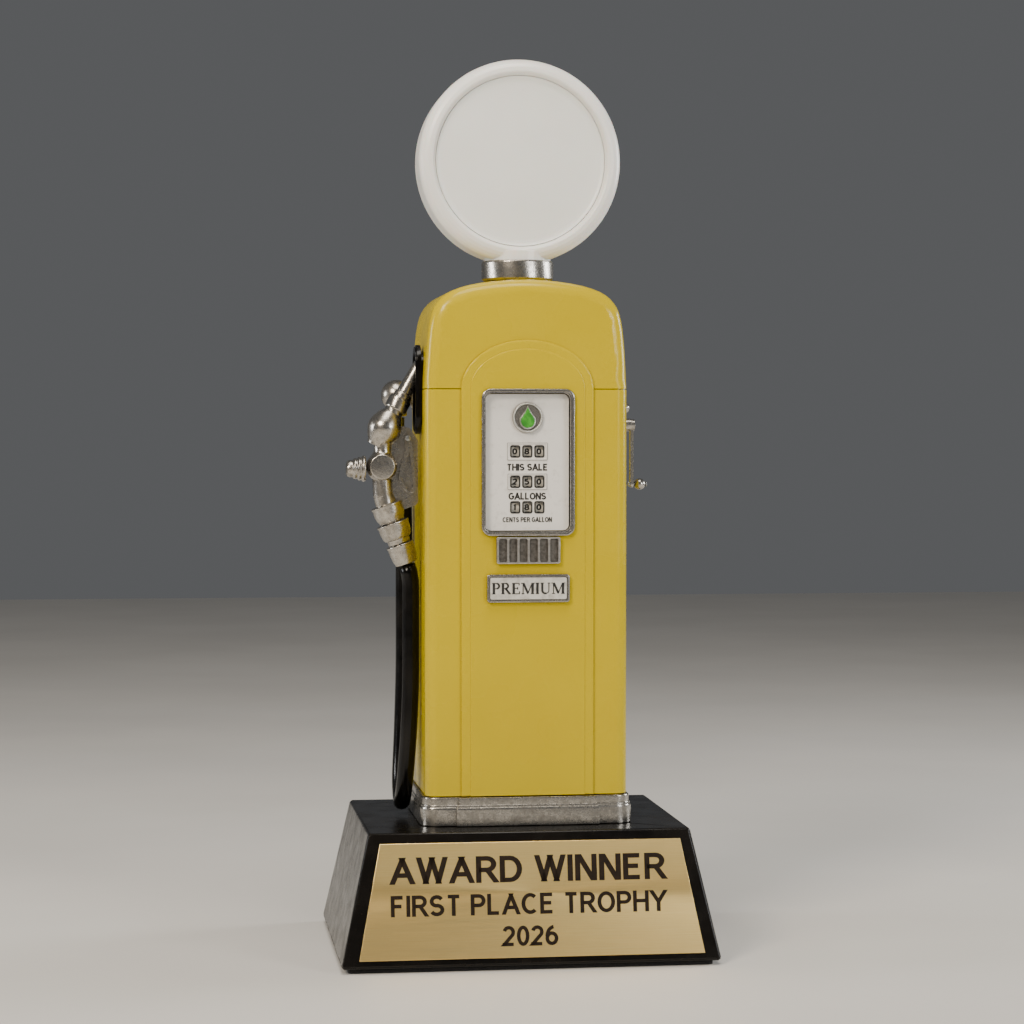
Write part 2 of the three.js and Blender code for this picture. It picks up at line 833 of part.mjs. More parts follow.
// Globe
function globeBody() {
  const h = globeThick / 2;
  const r = globeRim;
  const crest = globeRadius - r;
  const front = [[31.1, -4.6], [lensRadius + gap / 2, -6], [lensRadius + gap / 2, -h + lensSunk - 0.5],
    [29.7, -h + 0.7], [30.1, -h + 0.2]];
  for (let i = 0; i <= 5; i += 1) {
    const a = i / 5 * Math.PI / 2;
    front.push([crest + r * Math.sin(a), -h + r - r * Math.cos(a)]);
  }
  const inner = globeRadius - globeWall;
  const profile = [[inner, -h + globeWall + 4], ...front];
  const rear = profile.map(([x, y]) => [x, -y]).reverse();
  const ring = lathe([...profile, ...rear, profile[0]], 40).rotateY(Math.PI / 2).translate(0, 0, globeCentre);
  const neckLow = collarLow + 0.8 + gap;
  const above = cut(ring, box(-30, 30, -30, 30, 200, collarHigh + gap));
  const neck = rodZ(globeNeck, neckLow, 239.5 - neckLow, 0, 0, 32);
  return cut(add(above, neck), rodZ(6.5, 200, 42));
}

function globeLens(side) {
  const face = globeThick / 2 - lensSunk;
  const profile = [[0, 0], [26.9, 0], [27.9, 0.12], [28.6, 0.4], [lensRadius, 0.75], [lensRadius, -lensThick],
    [0, -lensThick]];
  const lens = lathe(profile.reverse(), 36).translate(0, face, 0);
  return (side > 0 ? lens : lens.rotateX(Math.PI)).translate(0, 0, globeCentre);
}

function globeCollar() {
  const e = 0.8;
  const profile = [[6.5, collarLow], [collarRadius - e, collarLow], [collarRadius, collarLow + e],
    [collarRadius, collarHigh - e], [collarRadius - 0.2, collarHigh - 0.2], [collarRadius - 0.6, collarHigh],
    [globeNeck + gap, collarHigh], [globeNeck + gap, collarLow + 0.8], [6.5, collarLow + 0.8], [6.5, collarLow]];
  return cut(latheZ(profile, 40), rodY(0.7 + runGap, 8, 8, 0, 232.8));
}

function setScrew() {
  return add(
    rodY(0.7, globeNeck + gap, collarRadius - globeNeck, 0, 232.8),
    rodY(1.3, collarRadius + gap * 0.5, 0.7, 0, 232.8),
  );
}

// Nozzle boot
function nozzleBoot() {
  const face = -halfWidth - gap - bootThick;
  const flange = sideways(oval(bootHalfWide, bootHalfTall, nozzleY, bootHeight), face, bootThick);
  const lip = oval(bootHalfWide - 0.7, bootHalfTall - 0.7, nozzleY, bootHeight);
  const rolled = sideways(lip, face - 0.5, bootThick);
  const sock = oval(bootHalfWide - 1.35, bootHalfTall - 2.4, nozzleY, bootHeight);
  const cup = sideways(sock, face + 0.2, bootDeep + bootThick);
  const mouth = sideways(
    oval(bootHalfWide - 2.05, bootHalfTall - 3, nozzleY, bootHeight),
    face - past,
    bootDeep + bootThick + past - 0.8,
  );
  return cut(add(flange, rolled, cup), mouth);
}

// Nozzle
function nozzleBody() {
  const head = along(
    [[0, -6.4], [3, -6.4], [3.3, -5.4], [4.6, -3.5], [5.6, -1.4], [bulbRadius, 0.4], [5.5, 2.3], [4.6, 4.4],
      [3.7, 5.9], [3.3, 6.2], [3.3, 7.4], [3.75, 7.6], [3.9, 8], [3.85, 11.4], [3.6, 11.9], [3.05, 12.1],
      [3.1, 13.4], [2.8, 13.9], [0, 13.9]],
    bulbX,
    bulbZ,
    spoutTilt,
    18,
  );
  const waist = along([[0, 0], [4, 0], [3.7, 3.6], [3, 5.2], [3, 7.4], [3.4, 9], [0, 9]], valveX, valveZ, 4);
  const halfThick = valveThick / 2;
  const valve = lathe(
    [[0, -halfThick], [3.9, -halfThick], [4.25, 0.25 - halfThick], [4.35, 1.1 - halfThick], [4.9, 1.7 - halfThick],
      [valveRadius, 3 - halfThick], [valveRadius, halfThick - 3], [4.9, halfThick - 1.7], [4.35, halfThick - 1.1],
      [4.25, halfThick - 0.25], [3.9, halfThick], [0, halfThick]],
    26,
  ).translate(valveX, nozzleY, valveZ);
  const drop = along([[0, 0], [tailRadius, 0], [tailRadius, 10], [0, 10]], tailX, tailZ, -2.9, 20);
  const bend = new THREE.SphereGeometry(tailRadius, 16, 8).translate(tailX, nozzleY, tailZ);
  const tail = along(
    [[0, 0], [tailRadius, 0], [3.6, -3], [5.2, -3.3], [5.5, -3.5], [5.5, -4], [5.3, -4.3], [5.3, -6.4], [4.9, -8],
      [4.5, -8.6], [4.3, -9.5], [2.5, -9.5], [2.5, -14.6], [0, -14.6]],
    tailX,
    tailZ,
    -tailTilt,
    18,
  );
  return cut(
    add(head, waist, valve, drop, bend, tail, triggerGuard()),
    along([[0, 9.6], [spoutSocket + runGap, 9.6], [spoutSocket + runGap, 15], [0, 15]], bulbX, bulbZ, spoutTilt),
    rodY(0.55 + runGap, nozzleY - 5, 10, pivotX, pivotZ, 12),
  );
}

function triggerGuard() {
  const web = polygon([[-10.6, 179.6], [-6.4, 179.6], [-3.8, 178.9], [-2.9, 177.6], [-1, 174.8], [-0.9, 153.6],
    [-1.8, 152.6], [-6.6, 150.9], [-10.6, 152]].map(([x, z]) => [x - halfWidth, z]));
  return facing(web, guardBack, guardThick);
}

function nozzleSpout() {
  const start = 13.9 + gap;
  return along(
    [[spoutBore, 9.9], [spoutSocket, 9.9], [spoutSocket, start], [spoutRadius, start], [2.15, spoutLength - 0.5],
      [1.9, spoutLength], [1.6, spoutLength], [spoutBore, spoutLength - 1], [spoutBore, 9.9]],
    bulbX,
    bulbZ,
    spoutTilt,
    20,
  );
}

function valveCap() {
  const start = valveX - valveRadius - gap;
  const profile = [[0, 0], [4.2, 0]];
  for (let i = 0; i < 3; i += 1) {
    const radius = 4.5 - i * 0.42;
    const low = i * 1.45;
    profile.push([radius - 0.1, low + 0.35], [radius, low + 0.7]);
    profile.push([radius - 0.15, low + 1.1], [radius - 0.6, low + 1.4]);
  }
  profile.push([2.9, 4.6], [3, 5.2], [2.7, 6.1], [1.9, 6.6], [0, 6.7]);
  return latheX(profile, 18).rotateZ(Math.PI).translate(start, nozzleY, valveZ - 0.6);
}

function triggerLever() {
  const s = new THREE.Shape();
  s.moveTo(pivotX - 1.2, pivotZ);
  s.absarc(pivotX, pivotZ, 1.2, Math.PI, 0, true);
  s.lineTo(pivotX + 1.7, pivotZ - 3.6);
  s.lineTo(pivotX + 2.9, pivotZ - 15.9);
  s.quadraticCurveTo(pivotX + 3, pivotZ - 18.6, pivotX + 0.9, pivotZ - 18.6);
  s.quadraticCurveTo(pivotX - 1.3, pivotZ - 18.4, pivotX - 2.7, pivotZ - 15.3);
  s.quadraticCurveTo(pivotX - 3.6, pivotZ - 13, pivotX - 2.4, pivotZ - 9);
  s.quadraticCurveTo(pivotX - 1.3, pivotZ - 5.6, pivotX - 0.8, pivotZ - 3.6);
  s.quadraticCurveTo(pivotX - 1.1, pivotZ - 1.8, pivotX - 1.2, pivotZ);
  const hole = new THREE.Path();
  hole.moveTo(pivotX + 0.55, pivotZ - 4.6);
  hole.quadraticCurveTo(pivotX - 0.2, pivotZ - 7, pivotX - 1.2, pivotZ - 9.6);
  hole.quadraticCurveTo(pivotX - 2.2, pivotZ - 12.6, pivotX - 1.6, pivotZ - 14.9);
  hole.quadraticCurveTo(pivotX - 0.6, pivotZ - 17.2, pivotX + 0.7, pivotZ - 17.3);
  hole.quadraticCurveTo(pivotX + 1.9, pivotZ - 17.3, pivotX + 1.8, pivotZ - 15.7);
  hole.lineTo(pivotX + 0.55, pivotZ - 4.6);
  s.holes.push(hole);
  return cut(
    facing(s, guardBack - guardThick - gap, leverThick, 0, 6),
    rodY(0.55 + runGap, nozzleY - 5, 10, pivotX, pivotZ, 12),
  );
}

function triggerPin() {
  const front = guardBack - guardThick - gap * 2 - leverThick;
  return add(
    rodY(0.55, front - 0.2, guardBack + 0.5 - front + 0.2, pivotX, pivotZ, 12),
    rodY(0.95, front - 0.5, 0.5, pivotX, pivotZ, 16),
  );
}

function hoseSwivel() {
  const profile = [[2.6, -9.8], [5.3, -9.8], [5.6, -10], [5.6, -10.5], [5.4, -10.8], [5.35, -12.7], [4.95, -14.6],
    [4.5, -15.4], [3.9, -15.6], [3.8, -17.2], [2.6, -17.2], [2.6, -9.8]];
  return along(profile, tailX, tailZ, -tailTilt, 20);
}

function hoseFerrule() {
  const profile = [[2, -17.5], [4.5, -17.5], [4.8, -17.7], [4.8, -18.2], [4.6, -18.5], [4.55, -20.4], [4.25, -22.8],
    [3.9, -23.8], [3.8, -24.5], [2, -24.5], [2, -17.5]];
  return along(profile, tailX, tailZ, -tailTilt, 20);
}

// Hose from the nozzle down to the foot and up to its outlet
// Hose line, x measured from the cabinet's side
const hoseRoute = [
  [-4.76, -9, 132.36],
  [-3.98, -9, 129.54],
  [-3.54, -9, 126.64],
  [-3.45, -9, 123],
  [-3.45, -9, 110],
  [-3.6, -9, 90],
  [-4.4, -8.4, 72],
  [-5.4, -4.6, 56],
  [-5.6, 3, 49.8],
  [-5.4, 10.6, 56],
  [-4.4, 14.6, 72],
  [-3.6, 15.8, 95],
  [-3.5, 16.2, 120],
  [-3.6, 16.2, 150],
  [-4.6, 15.6, 166],
  [-6.2, 15, 178],
  [-6.2, 15, 182.7],
];

function hose() {
  const line = hoseRoute.map(([x, y, z]) => new THREE.Vector3(x - halfWidth, y, z));
  const path = new THREE.CatmullRomCurve3(line, false, 'centripetal');
  const ring = new THREE.Shape();
  ring.absarc(0, 0, hoseDiameter / 2, 0, Math.PI * 2, false);
  return new THREE.ExtrudeGeometry(ring, { extrudePath: path, steps: 44, curveSegments: 5, bevelEnabled: false });
}

function hoseElbow() {
  const flange = latheX([[0, 0], [4.3, 0], [4.3, 0.7], [3.6, 1.2], [0, 1.2]], 24)
    .rotateZ(Math.PI)
    .translate(-halfWidth - gap, elbowY, elbowZ);
  const pipe = rodX(elbowPipe, elbowX, -halfWidth + 4 - elbowX, elbowY, elbowZ);
  const dome = new THREE.SphereGeometry(elbowRadius, 18, 12).rotateX(Math.PI / 2);
  dome.translate(elbowX, elbowY, elbowZ);
  const outlet = latheZ(
    [[0, 183], [3.3, 183], [3.7, 183.4], [3.7, 185], [3.1, 185.5], [3.1, 188], [0, 188]],
    24,
  ).translate(elbowX, elbowY, 0);
  return add(flange, pipe, dome, outlet);
}

// Crank
function crankShaftAndGear() {
  return add(
    rodX(crankShaft, frameHalf - 0.5, crankFace - frameHalf + 0.3, crankY, crankZ),
    sideways(gearOutline(crankTeeth, crankY, crankZ, gearTrain().crankPhase), gearStart, gearThick),
  );
}

function crankArm() {
  const hub = latheX([[0, 0], [2.8, 0], [2.8, 0.9], [2.2, 1.4], [2.2, 3.6], [0, 3.6]], 24)
    .translate(halfWidth + gap, crankY, crankZ);
  const arm = sideways(
    slotBetween(crankY, crankZ, crankY, crankZ - crankReach, 1.15),
    crankFace,
    crankArmThick,
  );
  const boss = rodX(2, crankFace, crankArmThick + 0.4, crankY, crankZ, 20);
  return cut(
    add(hub, arm, boss),
    rodX(crankShaft + runGap, halfWidth, crankFace - halfWidth + 0.3, crankY, crankZ),
    rodX(0.5 + runGap, crankFace - past, 4, crankY, crankZ - crankReach, 12),
  );
}

function crankKnob() {
  const x = crankFace + crankArmThick + gap + knobRadius;
  const ball = new THREE.SphereGeometry(knobRadius, 14, 10).rotateZ(Math.PI / 2);
  ball.translate(x, crankY, crankZ - crankReach);
  return cut(ball, rodX(0.5 + runGap, crankFace, 10, crankY, crankZ - crankReach, 12));
}

function knobPin() {
  const end = crankFace + crankArmThick + gap + knobRadius * 2;
  return add(
    rodX(0.5, crankFace - 0.5, end - crankFace + 0.6, crankY, crankZ - crankReach, 12),
    rodX(0.85, end + 0.1, 0.4, crankY, crankZ - crankReach, 12),
    rodX(0.85, crankFace - 0.6, 0.4, crankY, crankZ - crankReach, 12),
  );
}

// Lock
function lockCylinder() {
  const barrel = lockRadius - 0.4;
  const face = halfWidth + gap;
  return latheX(
    [[0, halfWidth - wall - 4.2], [barrel, halfWidth - wall - 4.2], [barrel, face], [lockRadius, face],
      [lockRadius, face + 0.9], [lockRadius - 0.3, face + 1.4], [lockRadius - 0.9, face + 1.8], [0, face + 1.9]],
    20,
  ).translate(0, lockY, lockZ);
}

function lockCam() {
  const start = halfWidth - wall - 3.4;
  return cut(
    sideways(slotBetween(lockY, lockZ, lockY + 5.5, lockZ, 2), start, 1),
    rodX(lockRadius - 0.4 + runGap, start - past, past * 3, lockY, lockZ),
  );
}

// Assembly
const pump = new THREE.Group();
pump.name = 'pump';
pump.position.set(pumpX, pumpY, 0);
pump.add(
  part('tie_bolt', tieBolt(), steel),
  part('tie_washer', tieWasher(), steel),
  part('tie_nut', tieNut(), steel),
  part('skirt', skirt(), silver),
  part('lower_cabinet', lowerCabinet(), paint),
  part('hood', hood(), paint),
  part('front_panel', frontPanel(), paint),
  part('rear_panel', rearPanel(), paint),
  part('rear_screw_top', rearScrew(170), steel),
  part('rear_screw_bottom', rearScrew(70), steel),
  part('dial_bezel', dialBezel(), silver),
  part('dial_face', dialFace(), dialWhite),
  part('emblem_badge', emblemBadge(), silver),
  part('emblem_drop', emblemDrop(), badgeGreen),
  part('register_frame', registerFrame(), steel),
  part('sale_shaft', saleShaft(), brass),
  part('volume_shaft', volumeShaft(), brass),
  part('price_shaft', priceShaft(), steel),
  part('idler_gear', idlerGear(), brass),
  part('louvre_grille', louvreGrille(), silver),
  part('sign_frame', signFrame(), silver),
  part('sign_insert', signInsert(), signCream),
  part('globe_body', globeBody(), globeWhite),
  part('globe_lens_front', globeLens(-1), globeWhite),
  part('globe_lens_rear', globeLens(1), globeWhite),
  part('globe_collar', globeCollar(), silver),
  part('globe_set_screw', setScrew(), steel),
  part('nozzle_boot', nozzleBoot(), rubber),
  part('nozzle_body', nozzleBody(), silver),
  part('nozzle_spout', nozzleSpout(), silver),
  part('valve_cap', valveCap(), silver),
  part('trigger_lever', triggerLever(), silver),
  part('trigger_pin', triggerPin(), steel),
  part('hose_swivel', hoseSwivel(), silver),
  part('hose_ferrule', hoseFerrule(), silver),
  part('hose_elbow', hoseElbow(), silver),
  part('hose', hose(), rubber),
  part('crank_shaft', crankShaftAndGear(), brass),
  part('crank_arm', crankArm(), silver),
  part('crank_knob', crankKnob(), silver),
  part('knob_pin', knobPin(), steel),
  part('lock_cylinder', lockCylinder(), silver),
  part('lock_cam', lockCam(), steel),
);
const rowNames = ['sale', 'volume', 'price'];
const placeNames = ['hundreds', 'tens', 'units'];
rowNames.forEach((row, r) => {
  placeNames.forEach((place, p) => {
    pump.add(part(`${row}_${place}`, numberWheel(wheelPlaces[p], rowHeights[r]), wheelWhite));
  });
});

const trophy = new THREE.Group();
trophy.name = 'gas_pump_trophy';
trophy.add(
  part('trophy_base', trophyBase(), lacquer),
  part('felt_pad', feltPad(), felt),
  part('name_plate', namePlate(), brass),
  pump,
);

export default trophy;
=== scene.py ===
import json
import math
import bmesh
import bpy
from mathutils import Matrix, Vector

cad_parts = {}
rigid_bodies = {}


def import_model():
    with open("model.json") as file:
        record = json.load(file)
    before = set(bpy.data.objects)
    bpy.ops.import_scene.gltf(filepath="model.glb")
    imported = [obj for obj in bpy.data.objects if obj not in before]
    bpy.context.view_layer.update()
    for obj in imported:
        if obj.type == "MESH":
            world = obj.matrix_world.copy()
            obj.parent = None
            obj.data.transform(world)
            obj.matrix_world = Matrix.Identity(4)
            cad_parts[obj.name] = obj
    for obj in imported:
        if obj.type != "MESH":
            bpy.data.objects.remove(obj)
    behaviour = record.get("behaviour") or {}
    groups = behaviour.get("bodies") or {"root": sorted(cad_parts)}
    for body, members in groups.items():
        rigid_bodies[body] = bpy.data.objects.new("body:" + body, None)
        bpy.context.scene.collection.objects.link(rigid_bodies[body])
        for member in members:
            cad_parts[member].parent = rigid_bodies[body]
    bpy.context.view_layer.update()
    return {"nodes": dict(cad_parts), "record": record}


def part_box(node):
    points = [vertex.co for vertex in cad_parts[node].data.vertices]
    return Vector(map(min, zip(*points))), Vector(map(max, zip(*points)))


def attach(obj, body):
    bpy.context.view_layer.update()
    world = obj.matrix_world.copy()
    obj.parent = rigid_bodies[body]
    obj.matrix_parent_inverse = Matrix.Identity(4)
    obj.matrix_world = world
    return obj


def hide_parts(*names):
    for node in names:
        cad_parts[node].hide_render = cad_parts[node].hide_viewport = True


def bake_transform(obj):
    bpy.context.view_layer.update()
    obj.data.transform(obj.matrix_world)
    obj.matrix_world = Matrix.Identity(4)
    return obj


for leftover in list(bpy.data.objects):
    bpy.data.objects.remove(leftover)
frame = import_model()
nodes = frame["nodes"]
mm = 0.001
pumpPlace = Vector((1, -2, 0)) * mm    # where the pump stands on its base
print("frame loaded:", len(nodes), "nodes")


# camera

cameraSizes = {"yaw": 7.58, "pitch": 1.63, "away": 0.9244, "height": 0.14986, "aside": 0.00058, "lens": 93.76}


def makeCamera():
    yaw, pitch = math.radians(cameraSizes["yaw"]), math.radians(cameraSizes["pitch"])
    ahead = Vector((math.sin(yaw) * math.cos(pitch), math.cos(yaw) * math.cos(pitch), -math.sin(pitch)))
    right = Vector((math.cos(yaw), -math.sin(yaw), 0))
    data = bpy.data.cameras.new("camera")
    data.lens = cameraSizes["lens"]
    data.clip_start, data.clip_end = 0.05, 20
    camera = bpy.data.objects.new("camera", data)
    bpy.context.scene.collection.objects.link(camera)
    middle = Vector((0, 0, cameraSizes["height"]))
    camera.location = middle - ahead * cameraSizes["away"] - right * cameraSizes["aside"]
    camera.rotation_euler = ahead.to_track_quat("-Z", "Y").to_euler()
    bpy.context.scene.camera = camera


makeCamera()


# hose: one curve from the nozzle down to the foot and up to its outlet

hoseSizes = {
    "diameter": 5.8,
    "step": 2.2,            # between the sampled points of its line
    "bendStart": (-38, -9, 132),
    "bend": (0, 12.08, -2.685),
    "route": [
        (-39.16, -9, 132.36), (-38.38, -9, 129.54), (-37.94, -9, 126.64), (-37.85, -9, 123),
        (-37.85, -9, 110), (-38, -9, 90), (-38.8, -8.4, 72), (-39.8, -4.6, 56), (-40, 3, 49.8),
        (-39.8, 10.6, 56),
        (-38.8, 14.6, 72), (-38, 15.8, 95), (-37.9, 16.2, 120), (-38, 16.2, 150), (-39, 15.6, 166),
        (-40.6, 15, 178), (-40.6, 15, 182.7),
    ],
}


def smoothRoute(points, step):
    # centripetal Catmull-Rom through the points, sampled about every step
    p = [Vector(q) for q in points]
    p = [p[0] * 2 - p[1]] + p + [p[-1] * 2 - p[-2]]
    out = []
    for a, b, c, d in zip(p, p[1:], p[2:], p[3:]):
        t0 = 0
        t1 = t0 + (b - a).length ** 0.5
        t2 = t1 + (c - b).length ** 0.5
        t3 = t2 + (d - c).length ** 0.5
        count = max(1, round((c - b).length / step))
        for i in range(count):
            t = t1 + (t2 - t1) * i / count
            a1 = a * ((t1 - t) / (t1 - t0)) + b * ((t - t0) / (t1 - t0))
            a2 = b * ((t2 - t) / (t2 - t1)) + c * ((t - t1) / (t2 - t1))
            a3 = c * ((t3 - t) / (t3 - t2)) + d * ((t - t2) / (t3 - t2))
            b1 = a1 * ((t2 - t) / (t2 - t0)) + a2 * ((t - t0) / (t2 - t0))
            b2 = a2 * ((t3 - t) / (t3 - t1)) + a3 * ((t - t1) / (t3 - t1))
            out.append(b1 * ((t2 - t) / (t2 - t1)) + b2 * ((t - t1) / (t2 - t1)))
    out.append(p[-2])
    return out


def makeHose():
    route = [point * mm + pumpPlace for point in smoothRoute(hoseSizes["route"], hoseSizes["step"])]
    curve = bpy.data.curves.new("hoseLine", "CURVE")
    curve.dimensions = "3D"
    curve.bevel_depth = hoseSizes["diameter"] / 2 * mm
    curve.bevel_resolution = 4
    curve.use_fill_caps = True
    spline = curve.splines.new("POLY")
    spline.points.add(len(route) - 1)
    for point, place in zip(spline.points, route):
        point.co = (*place, 1)
    holder = bpy.data.objects.new("hoseLine", curve)
    bpy.context.scene.collection.objects.link(holder)
    bpy.context.view_layer.update()
    mesh = bpy.data.meshes.new_from_object(holder.evaluated_get(bpy.context.evaluated_depsgraph_get()))
    bpy.data.objects.remove(holder)
    mesh.name = "hoseTube"
    return tidyMesh("hose_tube", mesh), route


def tidyMesh(name, mesh):
    # one welded mesh with its faces outwards, as a new piece at the origin
    form = bmesh.new()
    form.from_mesh(mesh)
    bmesh.ops.remove_doubles(form, verts=form.verts, dist=1e-7)
    bmesh.ops.recalc_face_normals(form, faces=form.faces)
    form.to_mesh(mesh)
    form.free()
    return addPiece(name, mesh)


def addPiece(name, mesh):
    piece = bpy.data.objects.new(name, mesh)
    bpy.context.scene.collection.objects.link(piece)
    return piece


hose, hoseRoute = makeHose()
hoseLength = sum((b - a).length for a, b in zip(hoseRoute, hoseRoute[1:]))
print("hose", round(hoseLength, 4), "m")


# shader wires

class Wire:
    def __init__(self, tree, socket=None):
        self.tree = tree
        self.socket = socket

    def make(self, kind, settings=None, sockets=None, output=0):
        node = self.tree.nodes.new(kind)
        for name, value in (settings or {}).items():
            setattr(node, name, value)
        for name, value in (sockets or {}).items():
            target = node.inputs[name]
            if isinstance(value, Wire):
                self.tree.links.new(value.socket, target)
            else:
                target.default_value = value
        return Wire(self.tree, node.outputs[output])

    def sum(self, operation, first, second):
        return self.make("ShaderNodeMath", {"operation": operation}, {0: first, 1: second})

    def __add__(self, other):
        return self.sum("ADD", self, other)

    def __radd__(self, other):
        return self.sum("ADD", other, self)

    def __sub__(self, other):
        return self.sum("SUBTRACT", self, other)

    def __rsub__(self, other):
        return self.sum("SUBTRACT", other, self)

    def __mul__(self, other):
        return self.sum("MULTIPLY", self, other)

    def __rmul__(self, other):
        return self.sum("MULTIPLY", other, self)

    def __truediv__(self, other):
        return self.sum("DIVIDE", self, other)

    def place(self, scale=(1, 1, 1)):
        spot = self.make("ShaderNodeTexCoord", output="Object")
        return self.make("ShaderNodeMapping", sockets={"Vector": spot, "Scale": scale})

    def depth(self):
        spot = self.make("ShaderNodeTexCoord", output="Object")
        return self.make("ShaderNodeSeparateXYZ", sockets={"Vector": spot}, output="Y")

    def noise(self, size, scale=(1, 1, 1), detail=4, rough=0.55):
        sockets = {"Vector": self.place(scale), "Scale": size, "Detail": detail, "Roughness": rough}
        return self.make("ShaderNodeTexNoise", sockets=sockets)

    def between(self, low, high, fromLow=0.35, fromHigh=0.65):
        sockets = {"Value": self, "From Min": fromLow, "From Max": fromHigh, "To Min": low, "To Max": high}
        return self.make("ShaderNodeMapRange", {"clamp": True}, sockets)

    def blend(self, first, second):
        node = self.tree.nodes.new("ShaderNodeMix")
        node.data_type = "RGBA"
        self.tree.links.new(self.socket, node.inputs[0])
        for slot, value in ((6, first), (7, second)):
            if isinstance(value, Wire):
                self.tree.links.new(value.socket, node.inputs[slot])
            else:
                node.inputs[slot].default_value = (*value, 1)
        return Wire(self.tree, node.outputs[2])

    def bump(self, strength, distance):
        sockets = {"Height": self, "Strength": strength, "Distance": distance}
        return self.make("ShaderNodeBump", sockets=sockets)


def finish(name, color, rough, metal=0.0, normal=None, fixed=None):
    material = bpy.data.materials[name]
    tree = material.node_tree
    shader = tree.nodes["Principled BSDF"]
    varied = {"Base Color": color, "Roughness": rough, "Metallic": metal, "Normal": normal}
    for socket, value in varied.items():
        if isinstance(value, Wire):
            tree.links.new(value.socket, shader.inputs[socket])
        elif isinstance(value, tuple):
            shader.inputs[socket].default_value = (*value, 1)
        elif value is not None:
            shader.inputs[socket].default_value = value
    for socket, value in (fixed or {}).items():
        shader.inputs[socket].default_value = value
    return material


def setMaterial(piece, material):
    piece.data.materials.clear()
    piece.data.materials.append(material)


def blank(name):
    material = bpy.data.materials.new(name)
    material.use_nodes = True
    return Wire(material.node_tree)


def shade(hexColor):
    # a screen colour as linear values
    parts = [int(hexColor[i:i + 2], 16) / 255 for i in (0, 2, 4)]
    return tuple(p / 12.92 if p <= 0.04045 else ((p + 0.055) / 1.055) ** 2.4 for p in parts)


# finishes

def cabinetPaint():
    w = blank("cabinetPaint")
    drift = w.noise(18, detail=2).between(0, 1, 0.3, 0.7)
    color = drift.blend((0.54, 0.4, 0.0), (0.6, 0.45, 0.0))
    speck = w.noise(900, detail=3)
    color = speck.between(0, 0.15, 0.62, 0.75).blend(color, (0.36, 0.26, 0.004))
    rough = w.noise(60, detail=3).between(0.22, 0.32)
    peel = w.noise(420, detail=2)
    return finish("cabinetPaint", color, rough, 0.0, peel.bump(0.05, 0.0002),
                  {"Coat Weight": 0.1, "Coat Roughness": 0.08, "Specular IOR Level": 0.25})


def antiqueSilver():
    w = blank("antiqueSilver")
    blotch = w.noise(170, detail=5, rough=0.6)
    grime = w.noise(620, detail=4, rough=0.65)
    mask = (blotch * 0.5 + grime * 0.5).between(0, 1, 0.42, 0.64)
    color = mask.blend((0.48, 0.455, 0.41), (0.27, 0.25, 0.22))
    color = w.noise(2200, detail=2).between(0, 0.4, 0.55, 0.7).blend(color, (0.12, 0.105, 0.085))
    rough = mask.between(0.23, 0.34, 0, 1)
    grain = w.noise(1700, detail=3)
    return finish("antiqueSilver", color, rough, mask.between(1, 0.9, 0, 1), grain.bump(0.2, 0.0002))


def shadedLouvreSilver():
    # the louvre: painted shade darkens its recesses, chosen by depth, and its bars are polished
    w = blank("shadedLouvreSilver")
    y = w.depth()
    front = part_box("louvre_grille")[0].y
    # painted shade: what lies 0.4 to 0.7 mm behind the grille's front fades to the dark silver
    recessShade = y.between(0, 1, front + 0.4 * mm, front + 0.7 * mm)
    mottle = w.noise(900, detail=4, rough=0.65).between(0, 1, 0.4, 0.62)
    dark = mottle.blend((0.15, 0.14, 0.125), (0.08, 0.072, 0.062))
    bright = mottle.blend((0.6, 0.575, 0.53), (0.4, 0.375, 0.34))
    rough = recessShade.between(0.3, 0.5, 0, 1) + mottle * 0.08
    return finish("shadedLouvreSilver", recessShade.blend(bright, dark), rough, recessShade.between(0.95, 0.8, 0, 1),
                  w.noise(1700, detail=3).bump(0.25, 0.0002))


def badgeSilver():
    # the badge: a blackened ground inside a polished rim and outline
    w = blank("badgeSilver")
    y = w.depth()
    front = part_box("emblem_badge")[0].y
    ground = y.between(0, 1, front + 0.25 * mm, front + 0.42 * mm)
    hatch = w.noise(1, scale=(5200, 900, 2600), detail=3, rough=0.7).between(0, 1, 0.42, 0.6)
    dark = hatch.blend((0.07, 0.065, 0.058), (0.22, 0.205, 0.185))
    return finish("badgeSilver", ground.blend((0.62, 0.6, 0.55), dark), ground.between(0.28, 0.5, 0, 1), 0.9,
                  hatch.bump(0.25, 0.0002))


def baseLacquer():
    w = blank("baseLacquer")
    cloud = w.noise(35, detail=4).between(0, 1)
    color = cloud.blend((0.0035, 0.003, 0.0026), (0.0075, 0.006, 0.0045))
    rough = w.noise(140, detail=4).between(0.2, 0.3)
    dust = w.noise(1600, detail=2)
    color = dust.between(0, 0.3, 0.72, 0.8).blend(color, (0.09, 0.075, 0.055))
    return finish("baseLacquer", color, rough, 0.0, w.noise(700, detail=2).bump(0.03, 0.0001),
                  {"Coat Weight": 0.08, "Coat Roughness": 0.12, "Specular IOR Level": 0.2})


def plateBrass():
    w = blank("plateBrass")
    streak = w.noise(1, scale=(22, 22, 5200), detail=3, rough=0.7)
    fine = w.noise(1, scale=(60, 60, 14000), detail=2, rough=0.7)
    tone = (streak * 0.6 + fine * 0.4).between(0, 1, 0.34, 0.66)
    color = tone.blend((0.86, 0.59, 0.195), (0.98, 0.74, 0.31))
    rough = tone.between(0.4, 0.3, 0, 1)
    return finish("plateBrass", color, rough, 1.0, tone.bump(0.1, 0.0001), {"Anisotropic": 0.6})


def workingBrass():
    w = blank("workingBrass")
    tone = w.noise(260, detail=4).between(0, 1)
    color = tone.blend(shade("8d6d35"), shade("c59d55"))
    return finish("workingBrass", color, tone.between(0.45, 0.3, 0, 1), 1.0, w.noise(900).bump(0.08, 0.0001))


